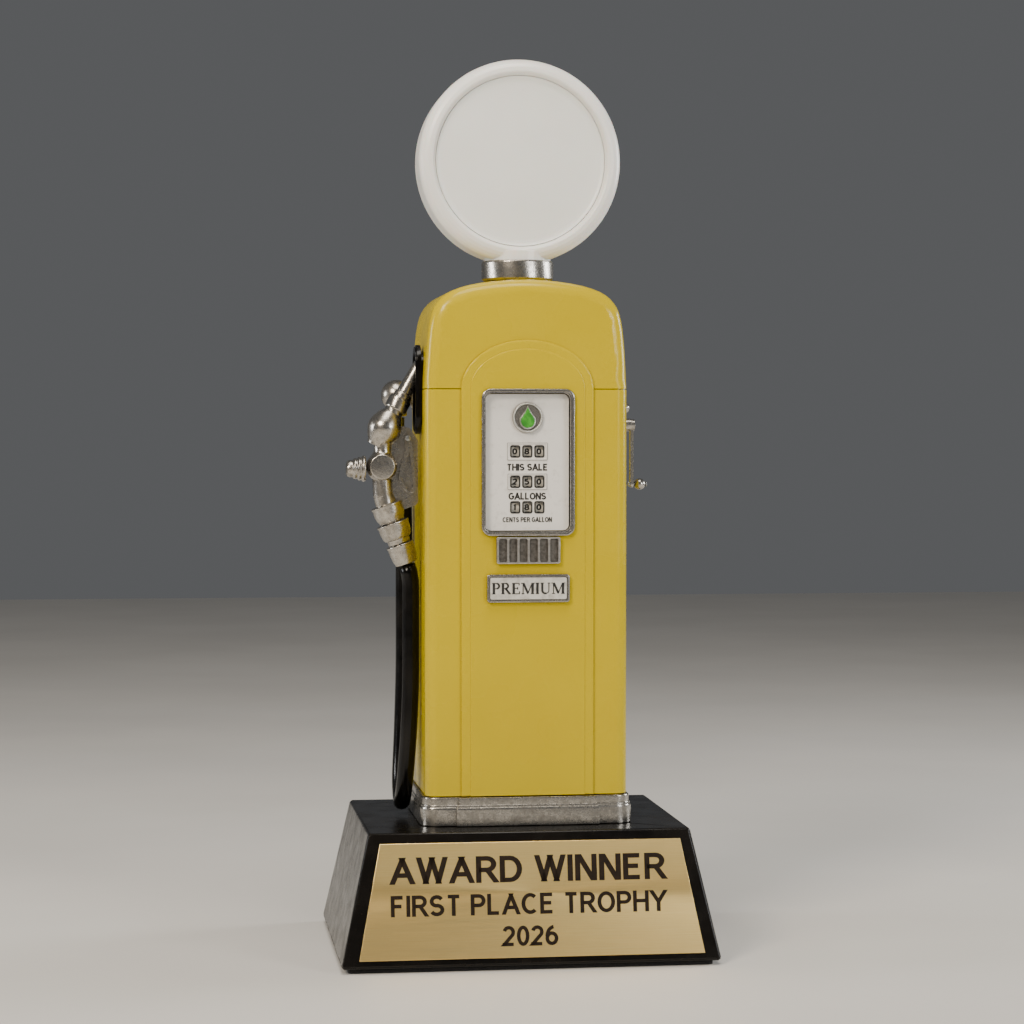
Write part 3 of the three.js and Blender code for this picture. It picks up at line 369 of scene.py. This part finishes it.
def blackFelt():
    w = blank("blackFelt")
    nap = w.noise(1500, detail=4, rough=0.7)
    color = nap.between(0, 1).blend((0.004, 0.004, 0.004), (0.02, 0.019, 0.018))
    return finish("blackFelt", color, 0.95, 0.0, nap.bump(0.6, 0.0004), {"Sheen Weight": 0.2})


def zincSteel():
    w = blank("zincSteel")
    tone = w.noise(300, detail=4).between(0, 1)
    color = tone.blend(shade("8b8d8f"), shade("b9bcbd"))
    return finish("zincSteel", color, tone.between(0.42, 0.28, 0, 1), 1.0, w.noise(1200).bump(0.08, 0.0001))


def globeWhite():
    w = blank("globeWhite")
    cloud = w.noise(26, detail=3).between(0, 1, 0.3, 0.7)
    color = cloud.blend(shade("f3f1ea"), shade("faf8f2"))
    rough = w.noise(120, detail=3).between(0.3, 0.4)
    return finish("globeWhite", color, rough, 0.0, w.noise(500, detail=2).bump(0.03, 0.0001),
                  {"Subsurface Weight": 0.12, "Subsurface Scale": 0.004, "Coat Weight": 0.2,
                   "Coat Roughness": 0.2})


def dialWhite():
    w = blank("dialWhite")
    dirt = w.noise(380, detail=5, rough=0.65).between(0, 0.5, 0.55, 0.75)
    color = dirt.blend(shade("e6e3dc"), shade("bdb7ab"))
    return finish("dialWhite", color, w.noise(200).between(0.38, 0.5), 0.0, w.noise(900).bump(0.05, 0.0001))


def wheelWhite():
    w = blank("wheelWhite")
    tone = w.noise(420, detail=4).between(0, 1)
    color = tone.blend(shade("d2cec3"), shade("dedad0"))
    return finish("wheelWhite", color, tone.between(0.5, 0.4, 0, 1), 0.0, w.noise(1400).bump(0.05, 0.0001))


def signCream():
    w = blank("signCream")
    tone = w.noise(300, detail=5, rough=0.65).between(0, 1, 0.45, 0.7)
    color = tone.blend(shade("dcd9d0"), shade("b3aea3"))
    return finish("signCream", color, tone.between(0.35, 0.5, 0, 1), 0.2, w.noise(900).bump(0.08, 0.0001))


def badgeGreen():
    w = blank("badgeGreen")
    tone = w.noise(500, detail=3).between(0, 1)
    color = tone.blend(shade("2c7a22"), shade("4fa63a"))
    return finish("badgeGreen", color, tone.between(0.3, 0.2, 0, 1), 0.0, w.noise(900).bump(0.05, 0.0001),
                  {"Coat Weight": 0.5})


def hoseRubber():
    w = blank("hoseRubber")
    bloom = w.noise(90, detail=4).between(0, 1, 0.4, 0.7)
    color = bloom.blend((0.0025, 0.0022, 0.002), (0.008, 0.0068, 0.0055))
    rough = w.noise(240, detail=3).between(0.14, 0.26)
    return finish("hoseRubber", color, rough, 0.0, w.noise(700, detail=3).bump(0.08, 0.0002),
                  {"Coat Weight": 0.05, "Coat Roughness": 0.1, "Specular IOR Level": 0.2})


def engravedInk():
    w = blank("engravedInk")
    tone = w.noise(900, detail=4).between(0, 1)
    color = tone.blend((0.008, 0.004, 0.0015), (0.02, 0.011, 0.005))
    return finish("engravedInk", color, tone.between(0.55, 0.7, 0, 1), 0.0, w.noise(1500).bump(0.1, 0.0001),
                  {"Specular IOR Level": 0.2})


def dialInk():
    w = blank("dialInk")
    tone = w.noise(1200, detail=3).between(0, 1)
    color = tone.blend(shade("121110"), shade("2b2925"))
    return finish("dialInk", color, tone.between(0.4, 0.55, 0, 1), 0.0, w.noise(1500).bump(0.05, 0.0001))


def outlineInk():
    w = blank("outlineInk")
    tone = w.noise(1200, detail=3).between(0, 1)
    color = tone.blend((0.14, 0.135, 0.125), (0.24, 0.23, 0.215))
    return finish("outlineInk", color, tone.between(0.45, 0.55, 0, 1), 0.0, w.noise(1500).bump(0.05, 0.0001))


finishes = {
    "cabinet_paint": cabinetPaint(),
    "antique_silver": antiqueSilver(),
    "base_lacquer": baseLacquer(),
    "plate_brass": plateBrass(),
    "base_felt": blackFelt(),
    "zinc_steel": zincSteel(),
    "globe_white": globeWhite(),
    "dial_white": dialWhite(),
    "wheel_white": wheelWhite(),
    "sign_cream": signCream(),
    "badge_green": badgeGreen(),
    "hose_rubber": hoseRubber(),
}
gearBrass = workingBrass()
louvreSilver = shadedLouvreSilver()
emblemSilver = badgeSilver()
plateInk = engravedInk()
blackInk = dialInk()
greyInk = outlineInk()
print("finishes made")


# CAD nodes: welded, edges eased, smooth where they curve

edgeSizes = {
    "smooth": 38,    # degrees, up to which an edge shades round
    "sharp": 40,     # degrees, from which an edge is eased
    "segments": 2,
    "weld": 0.002,
    "other": 0.1,
    "trophy_base": 0.9, "name_plate": 0.12, "skirt": 0.22, "lower_cabinet": 0.3, "hood": 0.3,
    "front_panel": 0.4, "rear_panel": 0.3, "dial_bezel": 0.16, "dial_face": 0.06, "louvre_grille": 0.12,
    "sign_frame": 0.12,
    "globe_body": 0.4, "globe_lens_front": 0.25, "globe_lens_rear": 0.25, "globe_collar": 0.2,
    "nozzle_boot": 0.3, "nozzle_body": 0.25, "hose_elbow": 0.2, "valve_cap": 0.15, "emblem_badge": 0.1,
}

globeSizes = {
    "centre": 270.1,
    "levels": 2,
    "flats": {"globe_body": 40, "globe_lens_front": 36, "globe_lens_rear": 36},
}


def geometryGroup(name):
    group = bpy.data.node_groups.new(name, "GeometryNodeTree")
    group.interface.new_socket("Geometry", in_out="INPUT", socket_type="NodeSocketGeometry")
    group.interface.new_socket("Geometry", in_out="OUTPUT", socket_type="NodeSocketGeometry")
    return group


def roundOut(flats):
    # points between the corners of a turned form go out to its true circle, about the globe's own axis
    group = geometryGroup("roundOut")
    w = Wire(group)
    form = w.make("NodeGroupInput")
    centre = pumpPlace + Vector((0, 0, globeSizes["centre"] * mm))
    spot = w.make("GeometryNodeInputPosition")
    away = w.make("ShaderNodeVectorMath", {"operation": "SUBTRACT"}, {0: spot, 1: centre})
    parts = w.make("ShaderNodeSeparateXYZ", sockets={0: away})
    x, y, z = [Wire(group, parts.socket.node.outputs[axis]) for axis in "XYZ"]
    step = math.tau / flats
    past = w.sum("FLOORED_MODULO", w.sum("ARCTAN2", x, z), step) - step / 2
    grown = w.sum("COSINE", past, 0) / math.cos(step / 2)
    moved = w.make("ShaderNodeCombineXYZ", sockets={"X": x * grown, "Y": y, "Z": z * grown})
    place = w.make("ShaderNodeVectorMath", {"operation": "ADD"}, {0: moved, 1: centre})
    rounded = w.make("GeometryNodeSetPosition", sockets={"Geometry": form, "Position": place})
    end = group.nodes.new("NodeGroupOutput")
    group.links.new(rounded.socket, end.inputs[0])
    return group


def roundGlobe(piece):
    finer = piece.modifiers.new("finer", "SUBSURF")
    finer.subdivision_type = "SIMPLE"
    finer.levels = globeSizes["levels"]
    finer.render_levels = globeSizes["levels"]
    rounded = piece.modifiers.new("rounded", "NODES")
    rounded.node_group = roundOut(globeSizes["flats"][piece.name])


def smoothByAngle():
    # sharp edges stay crisp and gentle ones shade round
    group = geometryGroup("smoothByAngle")
    start = group.nodes.new("NodeGroupInput")
    end = group.nodes.new("NodeGroupOutput")
    angle = group.nodes.new("GeometryNodeInputMeshEdgeAngle")
    gentle = group.nodes.new("FunctionNodeCompare")
    gentle.operation = "LESS_EQUAL"
    gentle.inputs["B"].default_value = math.radians(edgeSizes["smooth"])
    faces = group.nodes.new("GeometryNodeSetShadeSmooth")
    edges = group.nodes.new("GeometryNodeSetShadeSmooth")
    edges.domain = "EDGE"
    link = group.links.new
    link(start.outputs[0], faces.inputs["Geometry"])
    link(faces.outputs[0], edges.inputs["Geometry"])
    link(angle.outputs["Unsigned Angle"], gentle.inputs["A"])
    link(gentle.outputs[0], edges.inputs["Shade Smooth"])
    link(edges.outputs[0], end.inputs[0])
    return group


smoothGroup = smoothByAngle()


def easeEdges(piece):
    bevel = piece.modifiers.new("edges", "BEVEL")
    bevel.width = edgeSizes.get(piece.name, edgeSizes["other"]) * mm
    bevel.segments = edgeSizes["segments"]
    bevel.limit_method = "ANGLE"
    bevel.angle_limit = math.radians(edgeSizes["sharp"])
    bevel.use_clamp_overlap = True
    if piece.name in globeSizes["flats"]:
        roundGlobe(piece)
    smooth = piece.modifiers.new("smooth", "NODES")
    smooth.node_group = smoothGroup
    flats = piece.modifiers.new("flats", "WEIGHTED_NORMAL")    # wide faces stay flat up to their eased edges
    flats.keep_sharp = True


def finishNodes():
    own = dict.fromkeys(("sale_shaft", "volume_shaft", "idler_gear", "crank_shaft"), gearBrass)
    own.update({"louvre_grille": louvreSilver, "emblem_badge": emblemSilver})
    slots = {entry["node"]: entry["material_slot"] for entry in frame["record"]["subparts"]}
    for name, node in nodes.items():
        mesh = node.data
        for shading in ("custom_normal", "sharp_edge"):
            if shading in mesh.attributes:
                mesh.attributes.remove(mesh.attributes[shading])
        setMaterial(node, own[name] if name in own else finishes[slots[name]])
        weld = node.modifiers.new("weld", "WELD")
        weld.merge_threshold = edgeSizes["weld"] * mm
        easeEdges(node)


finishNodes()
print("nodes finished")


# lettering and digits: capitals drawn as strokes on a grid one tall, each stroke a closed flat bar

def arc(x, y, wide, tall, start, end, steps=10):
    # points on an oval, angles in degrees from the right, anticlockwise
    turns = [math.radians(start + (end - start) * i / steps) for i in range(steps + 1)]
    return [(x + wide * math.cos(turn), y + tall * math.sin(turn)) for turn in turns]


glyphs = {
    "A": (0.74, [[(0, 0), (0.37, 1), (0.74, 0)], [(0.12, 0.3), (0.62, 0.3)]]),
    "C": (0.72, [arc(0.38, 0.5, 0.38, 0.5, 48, 312, 16)]),
    "D": (0.68, [[(0, 0), (0, 1), (0.3, 1)] + arc(0.3, 0.5, 0.38, 0.5, 90, -90) + [(0, 0)]]),
    "E": (0.56, [[(0.56, 1), (0, 1), (0, 0), (0.56, 0)], [(0, 0.52), (0.5, 0.52)]]),
    "F": (0.54, [[(0.54, 1), (0, 1), (0, 0)], [(0, 0.5), (0.47, 0.5)]]),
    "G": (0.74, [arc(0.38, 0.5, 0.38, 0.5, 50, 340, 16) + [(0.74, 0.48), (0.42, 0.48)]]),
    "H": (0.66, [[(0, 0), (0, 1)], [(0.66, 0), (0.66, 1)], [(0, 0.52), (0.66, 0.52)]]),
    "I": (0.0, [[(0, 0), (0, 1)]]),
    "L": (0.52, [[(0, 1), (0, 0), (0.52, 0)]]),
    "N": (0.66, [[(0, 0), (0, 1)], [(0.08, 1), (0.58, 0)], [(0.66, 0), (0.66, 1)]]),
    "O": (0.76, [arc(0.38, 0.5, 0.38, 0.5, 90, 450, 24)]),
    "P": (0.6, [[(0, 0), (0, 1), (0.34, 1)] + arc(0.34, 0.73, 0.26, 0.27, 90, -90) + [(0, 0.46)]]),
    "R": (0.64, [[(0, 0), (0, 1), (0.34, 1)] + arc(0.34, 0.74, 0.26, 0.26, 90, -90) + [(0, 0.48)],
                 [(0.34, 0.48), (0.64, 0)]]),
    "S": (0.6, [arc(0.3, 0.745, 0.28, 0.255, 25, 260) + arc(0.3, 0.255, 0.3, 0.255, 80, -155)]),
    "T": (0.62, [[(0, 1), (0.62, 1)], [(0.31, 1), (0.31, 0)]]),
    "W": (1.0, [[(0, 1), (0.25, 0), (0.5, 1), (0.75, 0), (1.0, 1)]]),
    "Y": (0.68, [[(0, 1), (0.34, 0.44), (0.68, 1)], [(0.34, 0.44), (0.34, 0)]]),
    "0": (0.52, [arc(0.26, 0.5, 0.26, 0.5, 90, 450, 24)]),
    "1": (0.3, [[(0.2, 0), (0.2, 1)], [(0, 0.76), (0.2, 0.95)]]),
    "2": (0.54, [arc(0.27, 0.72, 0.26, 0.28, 165, -35) + [(0, 0), (0.54, 0)]]),
    "3": (0.52, [arc(0.25, 0.75, 0.24, 0.25, 150, -80), arc(0.25, 0.26, 0.27, 0.26, 80, -150)]),
    "4": (0.56, [[(0.4, 0), (0.4, 1)], [(0.36, 1), (0, 0.28), (0.56, 0.28)]]),
    "5": (0.54, [[(0.5, 1), (0.08, 1), (0.02, 0.52)] + arc(0.26, 0.32, 0.28, 0.32, 130, -150)]),
    "6": (0.54, [arc(0.27, 0.31, 0.27, 0.31, 90, 450, 20), arc(0.42, 0.42, 0.42, 0.58, 95, 180)]),
    "7": (0.52, [[(0, 1), (0.52, 1), (0.16, 0)]]),
    "8": (0.54, [arc(0.27, 0.75, 0.23, 0.25, 90, 450, 20), arc(0.27, 0.26, 0.27, 0.26, 90, 450, 20)]),
    "9": (0.54, [arc(0.27, 0.69, 0.27, 0.31, 90, 450, 20), arc(0.12, 0.58, 0.42, 0.58, -85, 0)]),
}
letterSizes = {
    # words, width, height and how high their middle stands
    "plateLines": [
        ("AWARD WINNER", 92, 8.7, 33.1),
        ("FIRST PLACE TROPHY", 92, 6.9, 21.8),
        ("2026", 18.6, 6.6, 11.5),
    ],
    "plateBold": 0.21,
    "plateAcross": -1,
    "dialLines": [
        ("THIS SALE", 14, 2.35, 165.7),
        ("GALLONS", 12.8, 2.35, 155.95),
        ("CENTS PER GALLON", 16.8, 1.7, 148.05),
    ],
    "dialBold": 0.28,
    "signText": ("PREMIUM", 24.4, 3.7, 125.05),
    "proud": 0.08,
    "behind": 0.02,      # how far a word's back lies inside the face that it stands on
    "gap": 0.3,          # between letters, as a share of their height
    "space": 0.42,
    "signGap": 0.13,
    "lift": 0.08,        # a letter's later strokes stand this share prouder
    "signLift": 0.004,
}
frameSizes = {
    # each ring's width, height, corner radius and line
    "window": (3.5, 4.2, 0.75, 0.5),
    "rows": {"sale": (13.7, 5.9, 0.25, 0.16), "volume": (13.4, 5.4, 0.25, 0.16)},
    "proud": 0.16,
    "rowProud": 0.05,
    "back": 0.32,           # behind the foremost face of the dial
    "proudOfFace": 0.3,     # how far the dial's raised frames stand before its own face
}
# the plinth's foot, its slope as depth and height, and how far the plate's face stands out
baseSizes = {"front": -50, "lean": (8, 45.1), "plateOut": 1.08}


def splitStroke(points, half, past):
    # a stroke parted at its sharp corners, its ends run past the top and bottom lines of the letter
    line = [Vector(points[0])]
    for point in points[1:]:
        if (Vector(point) - line[-1]).length > 1e-3:
            line.append(Vector(point))
    runs = [[line[0]]]
    for i in range(1, len(line)):
        runs[-1].append(line[i])
        if i < len(line) - 1 and (line[i] - line[i - 1]).angle(line[i + 1] - line[i]) > 2.15:
            runs.append([line[i]])
    for rank, run in enumerate(runs):
        for end, inner, parted in ((0, 1, rank > 0), (-1, -2, rank < len(runs) - 1)):
            way = (run[end] - run[inner]).normalized()
            level = min(abs(run[end].y), abs(run[end].y - 1)) < 1e-6
            if level and abs(way.y) > 0.3:
                run[end] = run[end] + way * half * past
            elif level and parted:
                run[end] = run[end] + way * half
    return runs


def strokeSides(line, half):
    # the two edges of a stroke, mitred at its corners
    closed = (line[0] - line[-1]).length < 1e-3
    if closed:
        line = line[:-1]
    count = len(line)
    left, right = [], []
    for i, here in enumerate(line):
        before = line[i - 1] if closed or i > 0 else None
        after = line[(i + 1) % count] if closed or i < count - 1 else None
        ahead = (after - here).normalized() if after else (here - before).normalized()
        behind = (here - before).normalized() if before else ahead
        middle = (ahead + behind).normalized()
        side = Vector((-middle.y, middle.x))
        reach = half / max(0.45, side.dot(Vector((-ahead.y, ahead.x))))
        left.append(here + side * reach)
        right.append(here - side * reach)
    return left, right, closed


def strokeMesh(form, points, half, place, deep, lift, past=2.5):
    # one stroke as closed bars: quads along it, trimmed to the letter's height, thickened towards the front
    for line in splitStroke(points, half, past):
        left, right, closed = strokeSides(line, half)
        rows = [[form.verts.new(place(p)) for p in side] for side in (left, right)]
        count = len(left)
        faces = []
        for i in range(count if closed else count - 1):
            k = (i + 1) % count
            faces.append(form.faces.new((rows[0][i], rows[1][i], rows[1][k], rows[0][k])))
        for level, up in ((-half * 1.02, -1), (1 + half * 1.02, 1)):
            edges = list({edge for face in faces for edge in face.edges})
            verts = list({vert for face in faces for vert in face.verts})
            kept = bmesh.ops.bisect_plane(form, geom=faces + edges + verts, plane_co=place((0, level)),
                                          plane_no=(0, 0, up), clear_outer=True)
            faces = [item for item in kept["geom"] if isinstance(item, bmesh.types.BMFace) and item.is_valid]
        grown = bmesh.ops.extrude_face_region(form, geom=faces, use_keep_orig=True)
        fronts = [v for v in grown["geom"] if isinstance(v, bmesh.types.BMVert)]
        bmesh.ops.translate(form, verts=fronts, vec=(0, -deep - lift, 0))


def wordForm(words, wide, tall, bold, deep):
    # words centred on the origin, upright, their backs on the plane y = 0
    pitch = letterSizes["gap"]
    across = []
    x = 0
    for letter in words:
        across.append(x)
        x += letterSizes["space"] if letter == " " else glyphs[letter][0] + pitch
    total = x - pitch
    half = bold / 2
    scale = (wide / (total + bold), tall / (1 + bold))
    form = bmesh.new()
    for letter, start in zip(words, across):
        if letter == " ":
            continue
        for rank, points in enumerate(glyphs[letter][1]):
            def place(p, start=start):
                return ((p[0] + start - total / 2) * scale[0], 0, (p[1] - 0.5) * scale[1])
            strokeMesh(form, points, half, place, deep, rank * deep * letterSizes["lift"])
    bmesh.ops.recalc_face_normals(form, faces=form.faces)
    return form


def formMesh(form, place=None):
    if place:
        form.transform(place)
    mesh = bpy.data.meshes.new("form")
    form.to_mesh(mesh)
    form.free()
    return mesh


def mergeMeshes(name, meshes):
    form = bmesh.new()
    for mesh in meshes:
        form.from_mesh(mesh)
        bpy.data.meshes.remove(mesh)
    bmesh.ops.recalc_face_normals(form, faces=form.faces)
    mesh = bpy.data.meshes.new(name)
    form.to_mesh(mesh)
    form.free()
    return mesh


def addLettering(name, meshes, material, body="stand"):
    piece = addPiece(name, mergeMeshes(name, meshes))
    setMaterial(piece, material)
    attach(piece, body)
    return piece


def plateLetters():
    slope = math.atan2(*baseSizes["lean"])
    deep = letterSizes["proud"] * mm
    meshes = []
    for words, wide, tall, height in letterSizes["plateLines"]:
        form = wordForm(words, wide * mm, tall * mm, letterSizes["plateBold"], deep)
        front = baseSizes["front"] + math.tan(slope) * height - baseSizes["plateOut"] / math.cos(slope)
        spot = Vector((letterSizes["plateAcross"], front, height)) * mm
        meshes.append(formMesh(form, Matrix.Translation(spot) @ Matrix.Rotation(-slope, 4, "X")))
    addLettering("plate_lettering", meshes, plateInk)


def dialLetters():
    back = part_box("dial_face")[0].y + (frameSizes["proudOfFace"] + letterSizes["behind"]) * mm
    meshes = []
    for words, wide, tall, height in letterSizes["dialLines"]:
        form = wordForm(words, wide * mm, tall * mm, letterSizes["dialBold"], letterSizes["proud"] * mm)
        meshes.append(formMesh(form, Matrix.Translation((pumpPlace.x, back, height * mm))))
    addLettering("dial_lettering", meshes, blackInk)


# the grade sign has serif capitals: thick stems, thin crossbars and small feet

def stem(x):
    return [(x, 0.0), (x, 1.0)]


def serif(x, y, reach=0.13):
    return [(x - reach, y), (x + reach, y)]


thick, thin = 0.19, 0.075
serifGlyphs = {
    "P": (0.56, [(stem(0.1), thick), (serif(0.1, 0.025), thin), (serif(0.02, 0.975, 0.06), thin),
                 (arc(0.26, 0.73, 0.24, 0.25, 78, -78), 0.15), ([(0.1, 0.975), (0.31, 0.975)], thin),
                 ([(0.1, 0.485), (0.31, 0.485)], thin)]),
    "R": (0.68, [(stem(0.1), thick), (serif(0.1, 0.025), thin), (serif(0.02, 0.975, 0.06), thin),
                 (arc(0.26, 0.74, 0.23, 0.24, 78, -78), 0.15), ([(0.1, 0.975), (0.31, 0.975)], thin),
                 ([(0.1, 0.505), (0.31, 0.505)], thin), ([(0.3, 0.5), (0.62, 0.0)], 0.17),
                 (serif(0.64, 0.025, 0.07), thin)]),
    "E": (0.58, [(stem(0.1), thick), ([(-0.02, 0.975), (0.52, 0.975)], thin),
                 ([(-0.02, 0.025), (0.55, 0.025)], thin), ([(0.1, 0.52), (0.4, 0.52)], thin),
                 ([(0.51, 0.78), (0.51, 1.0)], thin),
                 ([(0.54, 0.0), (0.54, 0.24)], thin), ([(0.4, 0.4), (0.4, 0.64)], thin)]),
    "M": (0.94, [(stem(0.1), thin), (serif(0.1, 0.025, 0.11), thin), ([(0.12, 1.0), (0.47, 0.06)], 0.17),
                 ([(0.45, 0.0), (0.79, 1.0)], thin), (stem(0.82), thick), (serif(0.82, 0.025), thin),
                 (serif(0.02, 0.975, 0.08), thin), (serif(0.92, 0.975, 0.07), thin)]),
    "I": (0.24, [(stem(0.12), thick), (serif(0.12, 0.025), thin), (serif(0.12, 0.975), thin)]),
    "U": (0.74, [([(0.12, 1.0), (0.12, 0.36)] + arc(0.37, 0.33, 0.25, 0.29, 180, 285), 0.17),
                 (arc(0.37, 0.33, 0.25, 0.29, 275, 360) + [(0.62, 0.36), (0.62, 1.0)], thin),
                 (serif(0.12, 0.975), thin), (serif(0.62, 0.975, 0.1), thin)]),
}


def signLetters():
    words, wide, tall, height = letterSizes["signText"]
    pitch = letterSizes["signGap"]
    total = sum(serifGlyphs[letter][0] + pitch for letter in words) - pitch
    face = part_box("sign_insert")[0].y + letterSizes["behind"] * mm
    deep, lift = letterSizes["proud"] * mm, letterSizes["signLift"] * mm
    form = bmesh.new()
    x = -total / 2
    for letter in words:
        for rank, (points, line) in enumerate(serifGlyphs[letter][1]):
            def place(p, start=x):
                return ((p[0] + start) * wide * mm / total, 0, (p[1] - 0.5) * tall * mm)
            strokeMesh(form, points, line / 2, place, deep, rank * lift, past=0)
        x += serifGlyphs[letter][0] + pitch
    mesh = formMesh(form, Matrix.Translation((pumpPlace.x, face, height * mm)))
    addLettering("sign_lettering", [mesh], blackInk)


wheelSizes = {
    "radius": 4.0,
    "digitWide": 1.75,
    "digitTall": 2.1,
    "bold": 0.3,
    "proud": 0.06,
    "narrow": 0.6,       # the figure one, beside the others
    "band": 0.25,        # how finely a figure is cut so that its strokes follow the curve
    "places": {"hundreds": -4.1, "tens": 0, "units": 4.1},
    "rows": {"sale": (171.0, "080"), "volume": (160.8, "250"), "price": (152.2, "180")},
}


def wheelDigit(digit, around, middle):
    # one figure, cut in bands and wrapped round its wheel
    radius = wheelSizes["radius"] * mm
    wide = wheelSizes["digitWide"] * (wheelSizes["narrow"] if digit == "1" else 1) * mm
    form = wordForm(digit, wide, wheelSizes["digitTall"] * mm, wheelSizes["bold"], wheelSizes["proud"] * mm)
    for band in range(-4, 5):
        bmesh.ops.bisect_plane(form, geom=form.verts[:] + form.edges[:] + form.faces[:],
                               plane_co=(0, 0, band * wheelSizes["band"] * mm), plane_no=(0, 0, 1))
    for vertex in form.verts:
        turn = vertex.co.z / radius + around
        reach = radius - letterSizes["behind"] * mm - vertex.co.y
        vertex.co = Vector((vertex.co.x, -reach * math.cos(turn), reach * math.sin(turn))) + middle
    return formMesh(form)


def wheelDigits():
    for row, (_, shown) in wheelSizes["rows"].items():
        for place, first in zip(wheelSizes["places"], shown):
            low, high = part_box(row + "_" + place)
            middle = (low + high) / 2
            meshes = []
            for step in range(10):
                digit = str((int(first) + step) % 10)
                meshes.append(wheelDigit(digit, math.tau * step / 10, middle))
            wheel = row + "_" + place
            addLettering(wheel + "_digits", meshes, blackInk, wheel + "_wheel")


def roundedRing(x, z, back, sizes, proud):
    # an upright rounded rectangular ring, its hole left by insetting one face
    wide, tall, rounding, line = [size * mm for size in sizes]
    form = bmesh.new()
    bmesh.ops.create_grid(form, x_segments=1, y_segments=1, size=0.5)
    bmesh.ops.scale(form, verts=form.verts, vec=(wide, tall, 1))
    bmesh.ops.bevel(form, geom=form.verts[:], offset=rounding, segments=4, profile=0.5, affect="VERTICES",
                    material=-1)
    whole = form.faces[:]
    bmesh.ops.inset_region(form, faces=whole, thickness=line, depth=0, use_boundary=True,
                           use_even_offset=True)
    bmesh.ops.delete(form, geom=whole, context="FACES")
    grown = bmesh.ops.extrude_face_region(form, geom=form.faces[:], use_keep_orig=True)
    bmesh.ops.translate(form, verts=[v for v in grown["geom"] if isinstance(v, bmesh.types.BMVert)],
                        vec=(0, 0, proud * mm))
    bmesh.ops.recalc_face_normals(form, faces=form.faces)
    return formMesh(form, Matrix.Translation((x, back, z)) @ Matrix.Rotation(math.pi / 2, 4, "X"))


def digitFrames():
    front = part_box("dial_face")[0].y
    meshes = []
    back = front + frameSizes["back"] * mm
    for height, _ in wheelSizes["rows"].values():
        for x in wheelSizes["places"].values():
            meshes.append(roundedRing(pumpPlace.x + x * mm, height * mm, back, frameSizes["window"],
                                      frameSizes["proud"]))
    addLettering("digit_window_frames", meshes, blackInk)
    lines = []
    back = front + letterSizes["behind"] * mm
    for row, sizes in frameSizes["rows"].items():
        height = wheelSizes["rows"][row][0]
        lines.append(roundedRing(pumpPlace.x, height * mm, back, sizes, frameSizes["rowProud"]))
    addLettering("row_outlines", lines, greyInk)


plateLetters()
dialLetters()
signLetters()
wheelDigits()
digitFrames()
print("lettering and digits made")


# hose: its rubber finish and smooth shading, with the CAD hose hidden

def setHose():
    setMaterial(hose, finishes["hose_rubber"])
    for face in hose.data.polygons:
        face.use_smooth = True
    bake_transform(hose)
    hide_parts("hose")


setHose()


# studio

studioSizes = {
    "floor": 4.0,
    "aim": 0.15,         # how high the lamps look
    "sky": 0.13,
    "skyColor": (0.8, 0.82, 0.85),
    "lamps": [
        ("keyLamp", (-0.62, -0.8, 0.78), 0.34, 9.5, "fff1de"),
        ("fillLamp", (0.75, -0.95, 0.42), 0.34, 4.5, "ffffff"),
        ("topLamp", (-0.05, -0.35, 1.15), 0.5, 8.0, "fff8ee"),
        ("leftStrip", (-0.85, 0.12, 0.3), 0.22, 2.2, "ffffff"),
        ("rightStrip", (0.85, 0.2, 0.35), 0.3, 4.0, "ffffff"),
    ],
}


def makeStudio():
    form = bmesh.new()
    bmesh.ops.create_grid(form, x_segments=1, y_segments=1, size=studioSizes["floor"] / 2)
    mesh = bpy.data.meshes.new("floor")
    form.to_mesh(mesh)
    form.free()
    floor = addPiece("floor", mesh)
    w = blank("floorPaint")
    tone = w.noise(6, detail=3).between(0, 1)
    setMaterial(floor, finish("floorPaint", tone.blend(shade("d9d6d0"), shade("dfdcd6")), 0.55))
    for name, place, size, power, color in studioSizes["lamps"]:
        data = bpy.data.lights.new(name, "AREA")
        data.shape = "SQUARE"
        data.size = size
        data.energy = power
        data.color = shade(color)
        lamp = bpy.data.objects.new(name, data)
        bpy.context.scene.collection.objects.link(lamp)
        lamp.location = place
        ahead = Vector((0, 0, studioSizes["aim"])) - Vector(place)
        lamp.rotation_euler = ahead.to_track_quat("-Z", "Y").to_euler()
    world = bpy.data.worlds.new("studio")
    bpy.context.scene.world = world
    world.use_nodes = True
    light = world.node_tree.nodes["Background"]
    light.inputs["Color"].default_value = (*studioSizes["skyColor"], 1)
    light.inputs["Strength"].default_value = studioSizes["sky"]


makeStudio()
print("studio made")
